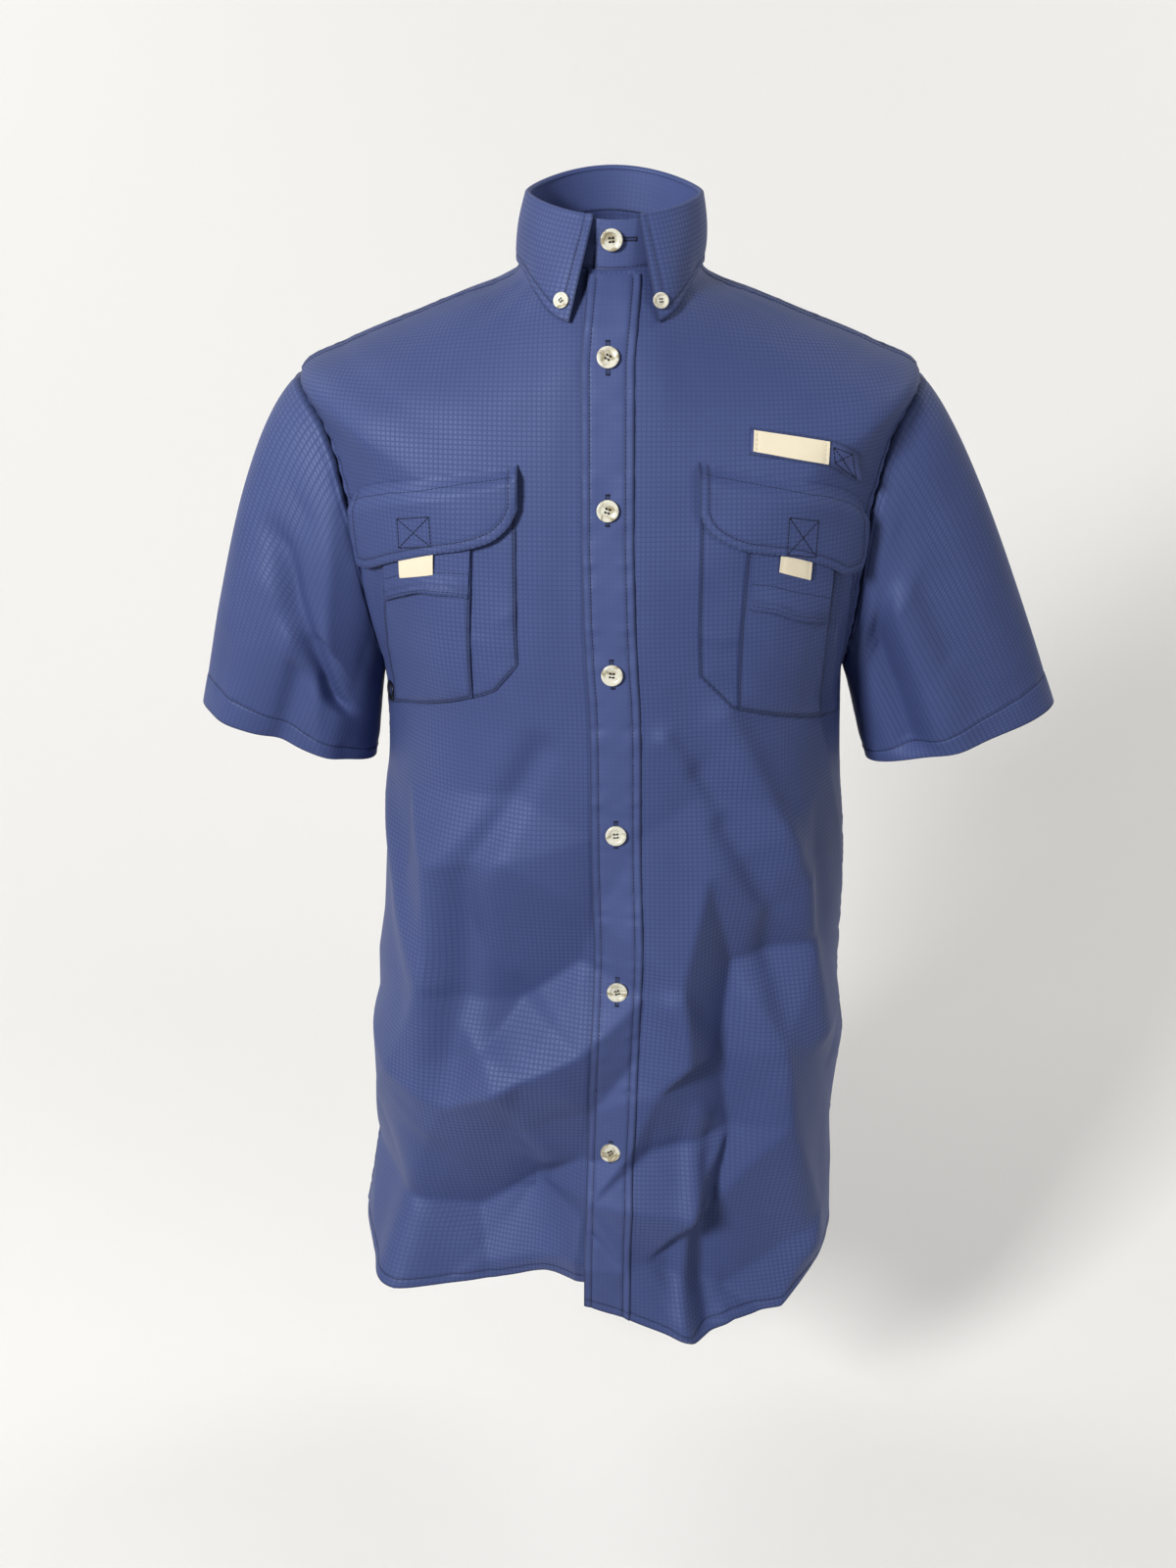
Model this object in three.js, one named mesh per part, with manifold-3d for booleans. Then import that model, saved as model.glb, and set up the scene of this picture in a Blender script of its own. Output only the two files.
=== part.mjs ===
// Short-sleeved button-front field shirt, hollow, in the shape it takes when worn.
// Millimetres. +Z is up and the front faces -Y, so the wearer's left is +X.
// The origin is the middle of the neck seam, where the shoulders carry the shirt.

import * as THREE from 'three';
import { mergeVertices } from 'three/addons/utils/BufferGeometryUtils.js';
import ManifoldModule from 'manifold-3d';

// Cloth walls and the gaps left at the seams
const BODY_CLOTH = 1.6;
const SLEEVE_CLOTH = 1.4;
const COLLAR_CLOTH = 1.6;
const PLACKET_CLOTH = 1.4;
const PATCH_CLOTH = 1.0;
const LABEL_CLOTH = 1.0;
const SEAM_GAP = 0.35;
const PATCH_GAP = 0.65;
const PATCH_CELL = 11.5;

// Front overlap
const LAP_GAP = 0.7;
const LAP_LIFT = BODY_CLOTH + LAP_GAP;
const LAP_FULL = 20;
const LAP_END = 58;
const PLACKET_WIDTH = 35;
const OVER_EDGE = 0.6 - PLACKET_WIDTH / 2;
const UNDER_EDGE = 15;
const PLACKET_LIFT = LAP_LIFT + LAP_GAP;

// Armholes: run of the shoulder tip, run of the underarm, and how far each side is scooped
const TIP_RUN = 206;
const UNDERARM_RUN = 330;
const SCOOP_FRONT = 19.5;
const SCOOP_BACK = 18;
const LONGEST_RUN = 900;

// Rows and columns of the cloth grids
const SHOULDER_ROWS = 10;
const ARMHOLE_ROWS = 12;
const SIDE_ROWS = 12;
const BODY_ROWS = SHOULDER_ROWS + ARMHOLE_ROWS + SIDE_ROWS;
const FRONT_COLUMNS = 16;
const BACK_COLUMNS = 16;
const SLEEVE_ROWS = 8;
const NECK_COLUMNS = 34;

// Cross sections of the torso, a row per level down the cloth from the neck seam.
// run: way down the cloth. wide, front, back: reach from the middle of that level.
// midX, midY: that middle. zFront, zSide, zBack: height in front, at the side, behind.
// square: 2 is an ellipse, more is squarer.
const TORSO_COLUMNS = [
  'run', 'wide', 'front', 'back', 'midX', 'midY', 'zFront', 'zSide', 'zBack', 'square',
];
const TORSO = [
  [0, 60, 60, 58, 0, 0, 0, 12, 24, 2.0],
  [16, 63, 71, 64, 0, 0, -12, -5, 6, 2.0],
  [36, 78, 83, 76, 0, 0, -29, -15, -14, 2.05],
  [64, 101, 96, 88, 0, 0, -54, -23, -40, 2.1],
  [104, 138, 109, 101, 0, 0, -92, -38, -80, 2.15],
  [156, 184, 121, 113, 0, 0, -142, -57, -132, 2.2],
  [206, 217.5, 128, 119, 0, 0, -192, -79, -184, 2.25],
  [221, 206, 130, 121, 0, 0, -207, -102, -200, 2.3],
  [236, 199, 131, 122, 0, 0, -222, -131, -216, 2.3],
  [266, 193, 133, 124, 1, 0, -252, -182, -248, 2.3],
  [296, 182, 134, 125, 3, 0, -282, -238, -280, 2.3],
  [330, 169, 135, 126, 4, 0, -316, -292, -314, 2.35],
  [380, 170, 136, 128, 4.5, 0, -366, -354, -366, 2.4],
  [490, 177, 137, 130, 5.5, -2, -476, -468, -477, 2.4],
  [610, 181, 139, 133, 1, -5, -596, -583, -598, 2.35],
  [720, 183.5, 141, 136, -2.5, -9, -706, -683, -709, 2.2],
  [815, 186.5, 143, 138, -2, -12, -800, -765, -806, 2.1],
];

// Folds of the hanging cloth. Each runs from one turn and height to another;
// half: half width, out1 and out2: how far the cloth stands out at either end.
// Turns are degrees from the centre front, positive towards the wearer's left.
const FOLD_COLUMNS = ['turn1', 'z1', 'turn2', 'z2', 'half', 'out1', 'out2'];
const FOLDS = [
  [-78, -380, -52, -509, 15, 3, 8],
  [-52, -509, -50, -632, 15, 8, 3],
  [-22, -316, -42, -414, 12, -3, -8],
  [-42, -414, -45, -560, 13, -8, -6],
  [-45, -560, -52, -660, 16, -6, -3],
  [-35, -560, -20, -655, 16, 6, 5],
  [14, -306, 28, -363, 9, 4, 3],
  [31, -293, 54, -432, 13, 5, 8],
  [54, -432, 61, -560, 14, 8, 4],
  [24, -335, 44, -445, 11, -4, -6],
  [44, -445, 50, -560, 12, -6, -2],
  [16, -509, 28, -549, 13, 5, 4],
  [27, -610, 23, -790, 9, 3, 7],
  [31, -650, 31, -790, 9, -3, -6],
  [40, -520, 62, -750, 17, 3, 8],
  [128, -240, 134, -800, 24, 2, 11],
  [152, -300, 150, -800, 20, -3, -9],
  [-172, -200, -176, -800, 24, 3, 10],
  [-150, -300, -154, -800, 20, -2, -9],
  [-126, -260, -122, -800, 24, 2, 9],
];
// Below the last button the under front swings inwards and turns a corner at its side
const UNDER_FOLDS = [
  [-58, -640, -59, -800, 24, 2, 29],
  [-20, -655, -18, -800, 42, -2, -33],
  [8, -660, 8, -800, 26, -4, -22],
];
const MM_PER_DEGREE = 2.9;

// Hem height against turn: the front with the placket, the under front, the back
const HEM_OVER = [
  [-12, -760], [7, -783], [25, -799], [38, -792], [52, -793], [63, -776], [75, -766], [90, -766],
];
const HEM_UNDER = [[-90, -766], [-75, -769], [-57, -774], [-35, -766], [-20, -757], [12, -754]];
const HEM_BACK = [[90, -766], [115, -780], [150, -800], [180, -806], [210, -800], [245, -780], [270, -766]];

// Middle line of the placket: height and how far it lies off the centre front
const PLACKET_LINE = [
  [20, 2], [-6, 2], [-52, -2.5], [-171, -2.5], [-240, -0.5], [-320, -0.5], [-400, -0.5],
  [-460, 0.5], [-524, 0.5], [-600, 1.5], [-686, 2.5], [-800, 1],
];
const PLACKET_TOP = -3;
const PLACKET_PAST_HEM = 0.8;
const PLACKET_COLUMNS = 3;
const PLACKET_ROWS = 26;
const PLACKET_CROWDING = 1.35;

// Sleeves. A cuff is an ellipse; reach: half width outwards, deep: half width front to back,
// tilt and pitch: how far its outer side and its front are above level, in degrees.
const SLEEVES = {
  right: { side: -1, x: -241, y: -2, z: -348.5, reach: 67.8, deep: 54, tilt: 19.4, pitch: 8, puff: 15 },
  left: { side: 1, x: 265.8, y: -2, z: -349.5, reach: 73, deep: 54, tilt: 18.8, pitch: 8, puff: 10 },
};
const SLEEVE_LENGTH = 258;
const SLEEVE_PUFF_HIGH = 0.6;
const SLEEVE_MM_PER_DEGREE = 1.1;
const SLEEVE_START_OUT = 0.6;
const SLEEVE_START_ON = 0.45;
// The puff leans outwards and a little up, least at the inside of the arm
const PUFF_UP = 0.3;
const PUFF_INSIDE = 0.35;
// The folds grow in over this share of the way down
const SLEEVE_FOLDS_START = 0.2;
// Sleeve folds: turn 0 is the outside, 90 the front, 180 the inside; down is 0 at the armhole
const SLEEVE_FOLD_COLUMNS = ['turn1', 'down1', 'turn2', 'down2', 'half', 'out1', 'out2'];
const SLEEVE_FOLDS = {
  right: [
    [58, 0.4, 112, 0.6, 11, -4, -6],
    [84, 0.66, 88, 1, 12, -5, -6],
    [48, 0.5, 52, 1, 15, 3, 4],
    [118, 0.7, 120, 1, 12, 3, 4],
    [240, 0.2, 250, 1, 18, 2, 6],
    [290, 0.3, 285, 1, 16, -2, -5],
  ],
  left: [
    [112, 0.25, 124, 0.9, 12, -5, -5],
    [84, 0.3, 98, 1, 15, 4, 5],
    [240, 0.2, 250, 1, 18, 2, 6],
    [290, 0.3, 285, 1, 16, -2, -5],
  ],
};

// Collar stand and the leaf that folds over it
const STAND_TOP = { front: 33, side: 42, back: 52 };
const STAND_LEAN = 1.0;
const COLLAR_TOP_SHIFT = 2.5;
const STAND_OVER_END = -10.8;
const STAND_UNDER_END = 13.4;
const STAND_ROWS = 3;
// The end that lies under is inset, and comes back in line by this turn
const STAND_UNDER_INSET = COLLAR_CLOTH + 0.4;
const STAND_LEVEL_TURN = 75;
const STAND_LAP = 4;
const LEAF_RISE = 1.2;
const LEAF_BEND = 2.0;
const LEAF_BEND_ROWS = 5;
const LEAF_FALL_ROWS = 4;
const LEAF_FRONT = { rightTop: -14, rightPoint: -18.4, leftTop: 15, leftPoint: 20.2 };
const LEAF_FALL_BULGE = 2.0;
const LEAF_CLEAR_FRONT = 4.6;
const LEAF_CLEAR = 2.0;
const LEAF_CLEAR_TURNS = [25, 60];
const LEAF_STAND_GAP = 0.2;
const LEAF_SPREAD = 1.5;
const LEAF_BEND_ANGLES = [45, 90, 135];
// Lower edge of the leaf: turn away from the centre front and height
const LEAF_EDGE = [[0, -30], [19, -28.5], [42, -14.5], [73, -2], [110, 0], [150, 6], [180, 8]];

// Pieces sewn on the chest, a row per point along the top and bottom edges.
// across: along the cloth from the centre front. Heights are the shirt's own.
const PATCH_COLUMNS = ['topAcross', 'topZ', 'bottomAcross', 'bottomZ'];
const RIGHT_POCKET = {
  base: [
    [-64, -130, -64.5, -252], [-71, -132, -71.5, -259], [-93, -136, -93, -278],
    [-125, -142, -125, -288], [-155, -149, -156, -297], [-180, -157, -184, -306],
    [-188, -163, -207, -314],
  ],
  front: [
    [-92, -146, -99, -279.5], [-110, -150, -122, -287], [-135, -155, -150, -295.5],
    [-157, -161, -183, -304],
  ],
  welt: [
    [-93, -161, -96.5, -207], [-110, -164, -110, -205.5], [-127, -167, -128, -205.5],
    [-144, -171, -146, -211], [-160, -176, -164, -219],
  ],
  tab: [[-118, -163, -120, -192], [-144, -168, -146, -198]],
  flap: [
    [-62, -117, -62, -145], [-66, -118, -67, -155], [-78, -120, -79, -166],
    [-93, -122, -93, -171], [-122, -127, -122, -178], [-150, -132, -150, -187],
    [-176, -139.5, -177, -197], [-187, -144, -189, -198], [-191, -147, -192, -191],
  ],
};
const LEFT_POCKET = {
  base: [
    [59.5, -130, 59.5, -257], [64, -131, 64, -266], [75, -133, 75, -283],
    [105, -139, 105, -294.5], [135, -146, 135, -303], [165, -154, 166, -311],
    [180, -163, 196, -316],
  ],
  front: [
    [93, -147, 84.5, -286], [115, -152, 110, -294], [138, -157, 136, -301.5],
    [161, -164, 161, -308],
  ],
  welt: [
    [94.5, -166, 94, -215], [110, -169, 110, -218], [125, -173, 125, -224.5],
    [141, -178, 141, -229], [157, -184, 156.5, -234],
  ],
  tab: [[113.5, -162, 113, -189.5], [137, -168, 136.5, -198]],
  flap: [
    [58, -115, 58.5, -148], [62, -116, 62.5, -157], [71, -118, 71, -165],
    [86, -121, 86, -172], [119, -127.5, 119, -179], [147, -134, 148, -190],
    [168, -142, 169, -200], [182, -150.5, 184, -200], [187, -157, 190, -190],
  ],
};
const ROD_TAB = [
  [92.5, -94.5, 92, -111.5], [120, -99, 119.5, -116], [147, -104, 147, -121.5],
  [162, -110, 164, -130.5], [173, -116.5, 180, -138],
];
const ROD_LABEL = [[94.5, -96.5, 94, -109.5], [120, -101, 119.5, -114.5], [146, -105.5, 145.5, -119.5]];

// How far each layer of a pocket stands off the body cloth, to its inner face
const BASE_LIFT = 1.0;
const FRONT_GAP = 0.95;
const TAB_GAP = 0.9;
const ROD_LABEL_GAP = 1.1;
const FRONT_LIFT = BASE_LIFT + PATCH_CLOTH + FRONT_GAP;
const WELT_LIFT = FRONT_LIFT + PATCH_CLOTH + PATCH_GAP;
const WELT_GAPE = 2.0;
const WELT_GAPE_START = 0.55;
const TAB_LIFT = WELT_LIFT + PATCH_CLOTH + TAB_GAP;
const FLAP_LIFT = TAB_LIFT + LABEL_CLOTH + PATCH_GAP;
const FLAP_RISE = 0.3;
const ROD_LIFT = 1.2;
const ROD_LABEL_LIFT = ROD_LIFT + PATCH_CLOTH + ROD_LABEL_GAP;
const ROD_CORNER_LIFT = 3;
// Its lower outer corner curls up from these shares of its length and width
const ROD_CORNER_START = { u: 0.72, v: 0.2 };
// Rows of each chest piece, from its top edge to its bottom edge
const PATCH_ROWS = { base: 8, front: 6, welt: 3, tab: 2, flap: 4, rod: 2, rodLabel: 1 };

// Drain eyelet in the lower outer corner of the right pocket
const EYELET = { across: -193, z: -300, outer: 7.6, hole: 4.2, thick: 1.2, sides: 20, holeSides: 16 };
const DRILL_LONG = 8;

// Buttons
const BUTTON = { radius: 7.4, thick: 2.6, hole: 0.85, holeOut: 1.7, sides: 18 };
const TIP_BUTTON = { radius: 5.4, thick: 2.2, hole: 0.65, holeOut: 1.3, sides: 16 };
const HOLE_SIDES = 5;
const HOLE_ANGLES = [45, 135, 225, 315];
const TIP_BUTTON_GAP = SEAM_GAP + 0.3;
const FRONT_BUTTON_Z = [-51, -146, -257, -376, -500, -636];
const STAND_BUTTON_TURN = 0;
const STAND_BUTTON_UP = 0.63;
// Where a collar point button sits: how far round the leaf, and how far to its lowest row
const TIP_PLACES = { right: { round: 0.017, down: 0.28 }, left: { round: 0.992, down: 0.25 } };

const CLOTH_LOOK = new THREE.MeshStandardMaterial({ color: 0x505f94, roughness: 0.62, metalness: 0 });
const LABEL_LOOK = new THREE.MeshStandardMaterial({ color: 0xece2c8, roughness: 0.8, metalness: 0 });
const BUTTON_LOOK = new THREE.MeshStandardMaterial({ color: 0xd8d0b8, roughness: 0.35, metalness: 0 });
const EYELET_LOOK = new THREE.MeshStandardMaterial({ color: 0x23262f, roughness: 0.4, metalness: 0.8 });

const radians = THREE.MathUtils.degToRad;
const degrees = THREE.MathUtils.radToDeg;
const mix = THREE.MathUtils.lerp;
const smooth = THREE.MathUtils.smoothstep;
const clamp = THREE.MathUtils.clamp;

function named(columns, row) {
  return Object.fromEntries(columns.map((column, i) => [column, row[i]]));
}

// Slopes that keep a smooth curve through a column from overshooting its rows
function slopes(at, values) {
  const steps = at.slice(1).map((x, i) => x - at[i]);
  const rises = steps.map((step, i) => (values[i + 1] - values[i]) / step);
  const inner = rises.slice(1).map((rise, i) => {
    if (rise * rises[i] <= 0) return 0;
    const w1 = 2 * steps[i + 1] + steps[i];
    const w2 = steps[i + 1] + 2 * steps[i];
    return (w1 + w2) / (w1 / rises[i] + w2 / rise);
  });
  return [rises[0], ...inner, rises[rises.length - 1]];
}

const TORSO_RUNS = TORSO.map((row) => row[0]);
const TORSO_SLOPES = TORSO_COLUMNS.map((_, c) => slopes(TORSO_RUNS, TORSO.map((row) => row[c])));

function section(run) {
  const last = TORSO.length - 1;
  const held = clamp(run, TORSO_RUNS[0], TORSO_RUNS[last]);
  let i = 0;
  while (i < last - 1 && TORSO_RUNS[i + 1] <= held) i += 1;
  const step = TORSO_RUNS[i + 1] - TORSO_RUNS[i];
  const t = (held - TORSO_RUNS[i]) / step;
  const beyond = run - held;
  const end = beyond > 0 ? last : 0;
  const row = TORSO_COLUMNS.map((_, c) => (
    (2 * t ** 3 - 3 * t ** 2 + 1) * TORSO[i][c]
    + (t ** 3 - 2 * t ** 2 + t) * step * TORSO_SLOPES[c][i]
    + (3 * t ** 2 - 2 * t ** 3) * TORSO[i + 1][c]
    + (t ** 3 - t ** 2) * step * TORSO_SLOPES[c][i + 1]
    + beyond * TORSO_SLOPES[c][end]
  ));
  return named(TORSO_COLUMNS, row);
}

// Straight lines through a table of [at, value] rows
function along(table, at) {
  const rising = table[1][0] > table[0][0] ? 1 : -1;
  let i = 0;
  while (i < table.length - 2 && (at - table[i + 1][0]) * rising > 0) i += 1;
  const [a, b] = [table[i], table[i + 1]];
  return mix(a[1], b[1], clamp((at - a[0]) / (b[0] - a[0]), 0, 1));
}

// A point of the torso before its folds; turn in radians
function torso(run, turn) {
  const s = section(run);
  const [c, d] = [Math.cos(turn), Math.sin(turn)];
  const deep = c > 0 ? s.front : s.back;
  const level = c > 0 ? s.zFront : s.zBack;
  const reach = (Math.abs(c / deep) ** s.square + Math.abs(d / s.wide) ** s.square) ** (-1 / s.square);
  const z = s.zSide + (level - s.zSide) * c * c;
  return new THREE.Vector3(s.midX + reach * d, s.midY - reach * c, z);
}

function torsoNormal(run, turn) {
  const runStep = 0.5;
  const turnStep = 0.004;
  const down = torso(run + runStep, turn).sub(torso(run - runStep, turn));
  const round = torso(run, turn + turnStep).sub(torso(run, turn - turnStep));
  return down.cross(round).normalize();
}

function runAt(z, turn) {
  const halvings = 24;
  let [low, high] = [0, LONGEST_RUN];
  for (let i = 0; i < halvings; i += 1) {
    const middle = (low + high) / 2;
    if (torso(middle, turn).z > z) low = middle;
    else high = middle;
  }
  return (low + high) / 2;
}

function turnAt(across, z) {
  const step = radians(2) * Math.sign(across || 1);
  let [turn, gone] = [0, 0];
  let here = torso(runAt(z, 0), 0);
  for (;;) {
    const next = torso(runAt(z, turn + step), turn + step);
    const length = next.distanceTo(here);
    if (gone + length >= Math.abs(across)) return turn + step * (Math.abs(across) - gone) / length;
    [turn, gone, here] = [turn + step, gone + length, next];
  }
}

// How far the folds stand out at a place given in degrees (or turns of a sleeve) and height.
// Rows that begin where the row before ends are one fold, so only the nearest of them counts.
function foldOut(folds, columns, perDegree, perHeight, turn, height) {
  let out = 0;
  let nearest = { away: Infinity, out: 0 };
  let end = [];
  for (const row of folds) {
    const [turn1, at1, turn2, at2, half, out1, out2] = columns.map((_, i) => row[i]);
    if (turn1 !== end[0] || at1 !== end[1]) {
      out += nearest.out;
      nearest = { away: Infinity, out: 0 };
    }
    const wrapped = ((turn - turn1 + 540) % 360) - 180;
    const x = wrapped * perDegree;
    const y = (height - at1) * perHeight;
    const [dx, dy] = [(turn2 - turn1) * perDegree, (at2 - at1) * perHeight];
    const t = clamp((x * dx + y * dy) / (dx * dx + dy * dy), 0, 1);
    const away = Math.hypot(x - dx * t, y - dy * t) / half;
    if (away < nearest.away) nearest = { away, out: mix(out1, out2, t) * Math.exp(-(away ** 2)) };
    end = [turn2, at2];
  }
  return out + nearest.out;
}

// A point of the body cloth, folds included, standing lift off it
function body(run, turn, lift, extraFolds = []) {
  const point = torso(run, turn);
  const folds = [...FOLDS, ...extraFolds];
  const out = foldOut(folds, FOLD_COLUMNS, MM_PER_DEGREE, 1, degrees(turn), point.z);
  return point.addScaledVector(torsoNormal(run, turn), out + lift);
}

const places = new Map();
function onChest(across, z, lift) {
  const key = `${across.toFixed(3)},${z.toFixed(3)}`;
  if (!places.has(key)) {
    const turn = turnAt(across, z);
    places.set(key, [runAt(z, turn), turn]);
  }
  return body(...places.get(key), lift);
}

// A closed cloth wall: an outer and an inner grid of points joined round their edges
function wall(columns, rows, place, ringed = false) {
  const wide = ringed ? columns : columns + 1;
  const points = [];
  for (const face of [0, 1]) {
    for (let j = 0; j <= rows; j += 1) {
      for (let i = 0; i < wide; i += 1) points.push(place(i / columns, j / rows, face, i, j));
    }
  }
  const at = (face, i, j) => face * wide * (rows + 1) + j * wide + (i % wide);
  const faces = [];
  const quad = (a, b, c, d) => faces.push(a, b, c, a, c, d);
  for (let j = 0; j < rows; j += 1) {
    for (let i = 0; i < columns; i += 1) {
      quad(at(0, i, j), at(0, i + 1, j), at(0, i + 1, j + 1), at(0, i, j + 1));
      quad(at(1, i, j), at(1, i, j + 1), at(1, i + 1, j + 1), at(1, i + 1, j));
    }
  }
  for (let i = 0; i < columns; i += 1) {
    quad(at(0, i + 1, 0), at(0, i, 0), at(1, i, 0), at(1, i + 1, 0));
    quad(at(0, i, rows), at(0, i + 1, rows), at(1, i + 1, rows), at(1, i, rows));
  }
  for (let j = 0; j < rows && !ringed; j += 1) {
    quad(at(0, 0, j), at(0, 0, j + 1), at(1, 0, j + 1), at(1, 0, j));
    quad(at(0, columns, j + 1), at(0, columns, j), at(1, columns, j), at(1, columns, j + 1));
  }
  return closedShape(points, faces);
}

// Turns the faces outwards if they enclose a negative volume
function closedShape(points, faces) {
  let volume = 0;
  for (let i = 0; i < faces.length; i += 3) {
    const [a, b, c] = [points[faces[i]], points[faces[i + 1]], points[faces[i + 2]]];
    volume += a.dot(new THREE.Vector3().crossVectors(b, c));
  }
  const facing = volume > 0 ? faces : faces.slice().reverse();
  const shape = new THREE.BufferGeometry();
  shape.setAttribute('position', new THREE.Float32BufferAttribute(points.flatMap((p) => p.toArray()), 3));
  shape.setIndex(facing);
  shape.computeVertexNormals();
  return shape;
}

function piece(name, shape, look) {
  const mesh = new THREE.Mesh(shape, look.clone());
  mesh.name = name;
  return mesh;
}

// Run of a grid row, the same for fronts and back so that their edges meet
function rowRun(j, turn, hem) {
  if (j <= SHOULDER_ROWS) return TIP_RUN * j / SHOULDER_ROWS;
  const armhole = Math.min(j - SHOULDER_ROWS, ARMHOLE_ROWS) / ARMHOLE_ROWS;
  const run = TIP_RUN + (UNDERARM_RUN - TIP_RUN) * (1 - Math.cos(Math.PI * armhole)) / 2;
  if (armhole < 1) return run;
  const side = (j - SHOULDER_ROWS - ARMHOLE_ROWS) / SIDE_ROWS;
  return mix(run, runAt(hem, turn), side);
}

// Turn of the outer edge of a row: the shoulder seam, the armhole or the side seam
function edgeTurn(j, scoop) {
  const armhole = clamp((j - SHOULDER_ROWS) / ARMHOLE_ROWS, 0, 1);
  const seam = SEAM_GAP / 2 / section(rowRun(Math.min(j, SHOULDER_ROWS + ARMHOLE_ROWS), 0, 0)).wide;
  return radians(90) - radians(scoop) * Math.sin(Math.PI * armhole) - seam;
}

function placketMiddle(z) {
  return along(PLACKET_LINE, z);
}

function centreTurn(j, offset) {
  const run = j > SHOULDER_ROWS + ARMHOLE_ROWS
    ? mix(UNDERARM_RUN, TORSO_RUNS[TORSO_RUNS.length - 1], (j - SHOULDER_ROWS - ARMHOLE_ROWS) / SIDE_ROWS)
    : rowRun(j, 0, 0);
  const z = torso(run, 0).z;
  return (placketMiddle(z) + offset) / section(run).front;
}

function lapLift(run, turn) {
  return LAP_LIFT * (1 - smooth(turn * section(run).front, LAP_FULL, LAP_END));
}

function frontLeft() {
  return wall(FRONT_COLUMNS, BODY_ROWS, (u, v, face, i, j) => {
    const turn = mix(centreTurn(j, OVER_EDGE), edgeTurn(j, SCOOP_FRONT), u);
    const run = rowRun(j, turn, along(HEM_OVER, degrees(turn)));
    return body(run, turn, lapLift(run, turn) - face * BODY_CLOTH);
  });
}

function frontRight() {
  return wall(FRONT_COLUMNS, BODY_ROWS, (u, v, face, i, j) => {
    const turn = mix(centreTurn(j, UNDER_EDGE), -edgeTurn(j, SCOOP_FRONT), u);
    const run = rowRun(j, turn, along(HEM_UNDER, degrees(turn)));
    return body(run, turn, -face * BODY_CLOTH, UNDER_FOLDS);
  });
}

function back() {
  return wall(BACK_COLUMNS, BODY_ROWS, (u, v, face, i, j) => {
    const edge = Math.PI - edgeTurn(j, SCOOP_BACK);
    const turn = mix(edge, 2 * Math.PI - edge, u);
    const run = rowRun(j, turn, along(HEM_BACK, degrees(turn)));
    return body(run, turn, -face * BODY_CLOTH);
  });
}

function placket() {
  return wall(PLACKET_COLUMNS, PLACKET_ROWS, (u, v, face) => {
    const turnGuess = mix(-PLACKET_WIDTH, PLACKET_WIDTH, u) / 2 / TORSO[TORSO.length - 1][2];
    const bottom = along(HEM_OVER, degrees(turnGuess)) - PLACKET_PAST_HEM;
    const z = mix(PLACKET_TOP, bottom, v ** PLACKET_CROWDING);
    const across = placketMiddle(z) + PLACKET_WIDTH * (u - 0.5);
    return onChest(across, z, PLACKET_LIFT + (1 - face) * PLACKET_CLOTH);
  });
}

// Edge of an armhole; turn 0 is the shoulder tip, 90 the front, 180 the underarm
function armhole(side, turn) {
  const b = radians(turn);
  const run = TIP_RUN + (UNDERARM_RUN - TIP_RUN) * (1 - Math.cos(b)) / 2;
  const scoop = Math.sin(b) > 0 ? SCOOP_FRONT : SCOOP_BACK;
  const edge = side * (radians(90) - radians(scoop) * Math.sin(b));
  const extra = side < 0 ? UNDER_FOLDS : [];
  return { run, edge, point: body(run, edge, 0, extra) };
}

function sleeveStart(side, turn) {
  const { run, edge, point } = armhole(side, turn);
  const out = torsoNormal(run, edge);
  const round = armhole(side, turn + 1).point.sub(armhole(side, turn - 1).point);
  const inward = round.cross(out).normalize();
  const middle = torso((TIP_RUN + UNDERARM_RUN) / 2, side * radians(90));
  if (middle.sub(point).dot(inward) < 0) inward.negate();
  return point.addScaledVector(out, SLEEVE_START_OUT).addScaledVector(inward, SLEEVE_START_ON);
}

function sleevePoint(sleeve, turn, down) {
  const b = radians(turn);
  const out = sleeve.reach * Math.cos(b);
  const cuff = new THREE.Vector3(
    sleeve.x + sleeve.side * out * Math.cos(radians(sleeve.tilt)),
    sleeve.y - sleeve.deep * Math.sin(b),
    sleeve.z + out * Math.sin(radians(sleeve.tilt)) + sleeve.deep * Math.sin(b) * Math.sin(radians(sleeve.pitch)),
  );
  const point = sleeveStart(sleeve.side, turn).lerp(cuff, down);
  const puff = sleeve.puff * Math.sin(Math.PI * Math.max(0, down) ** SLEEVE_PUFF_HIGH);
  const lean = new THREE.Vector3(sleeve.side * Math.cos(b), -Math.sin(b), PUFF_UP * Math.cos(b));
  return point.addScaledVector(lean, puff * Math.max(0, mix(PUFF_INSIDE, 1, Math.cos(b))));
}

function sleeve(name) {
  const shape = SLEEVES[name];
  const folds = SLEEVE_FOLDS[name];
  const columns = 2 * ARMHOLE_ROWS;
  return wall(columns, SLEEVE_ROWS, (u, v, face) => {
    const turn = 360 * u;
    const point = sleevePoint(shape, turn, v);
    const step = 0.01;
    const round = sleevePoint(shape, turn + 1, v).sub(sleevePoint(shape, turn - 1, v));
    const fall = sleevePoint(shape, turn, v + step).sub(sleevePoint(shape, turn, v - step));
    const normal = round.cross(fall).normalize();
    const axis = sleevePoint(shape, turn + 180, v).sub(point);
    if (axis.dot(normal) > 0) normal.negate();
    const held = smooth(v, 0, SLEEVE_FOLDS_START);
    const out = held * foldOut(folds, SLEEVE_FOLD_COLUMNS, SLEEVE_MM_PER_DEGREE, SLEEVE_LENGTH, turn, v);
    return point.addScaledVector(normal, out - face * SLEEVE_CLOTH);
  }, true);
}

function standTop(turn) {
  const c = Math.cos(turn);
  const level = c > 0 ? STAND_TOP.front : STAND_TOP.back;
  return STAND_TOP.side + (level - STAND_TOP.side) * c * c;
}

function outward(turn) {
  return new THREE.Vector3(Math.sin(turn), -Math.cos(turn), 0);
}

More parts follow.
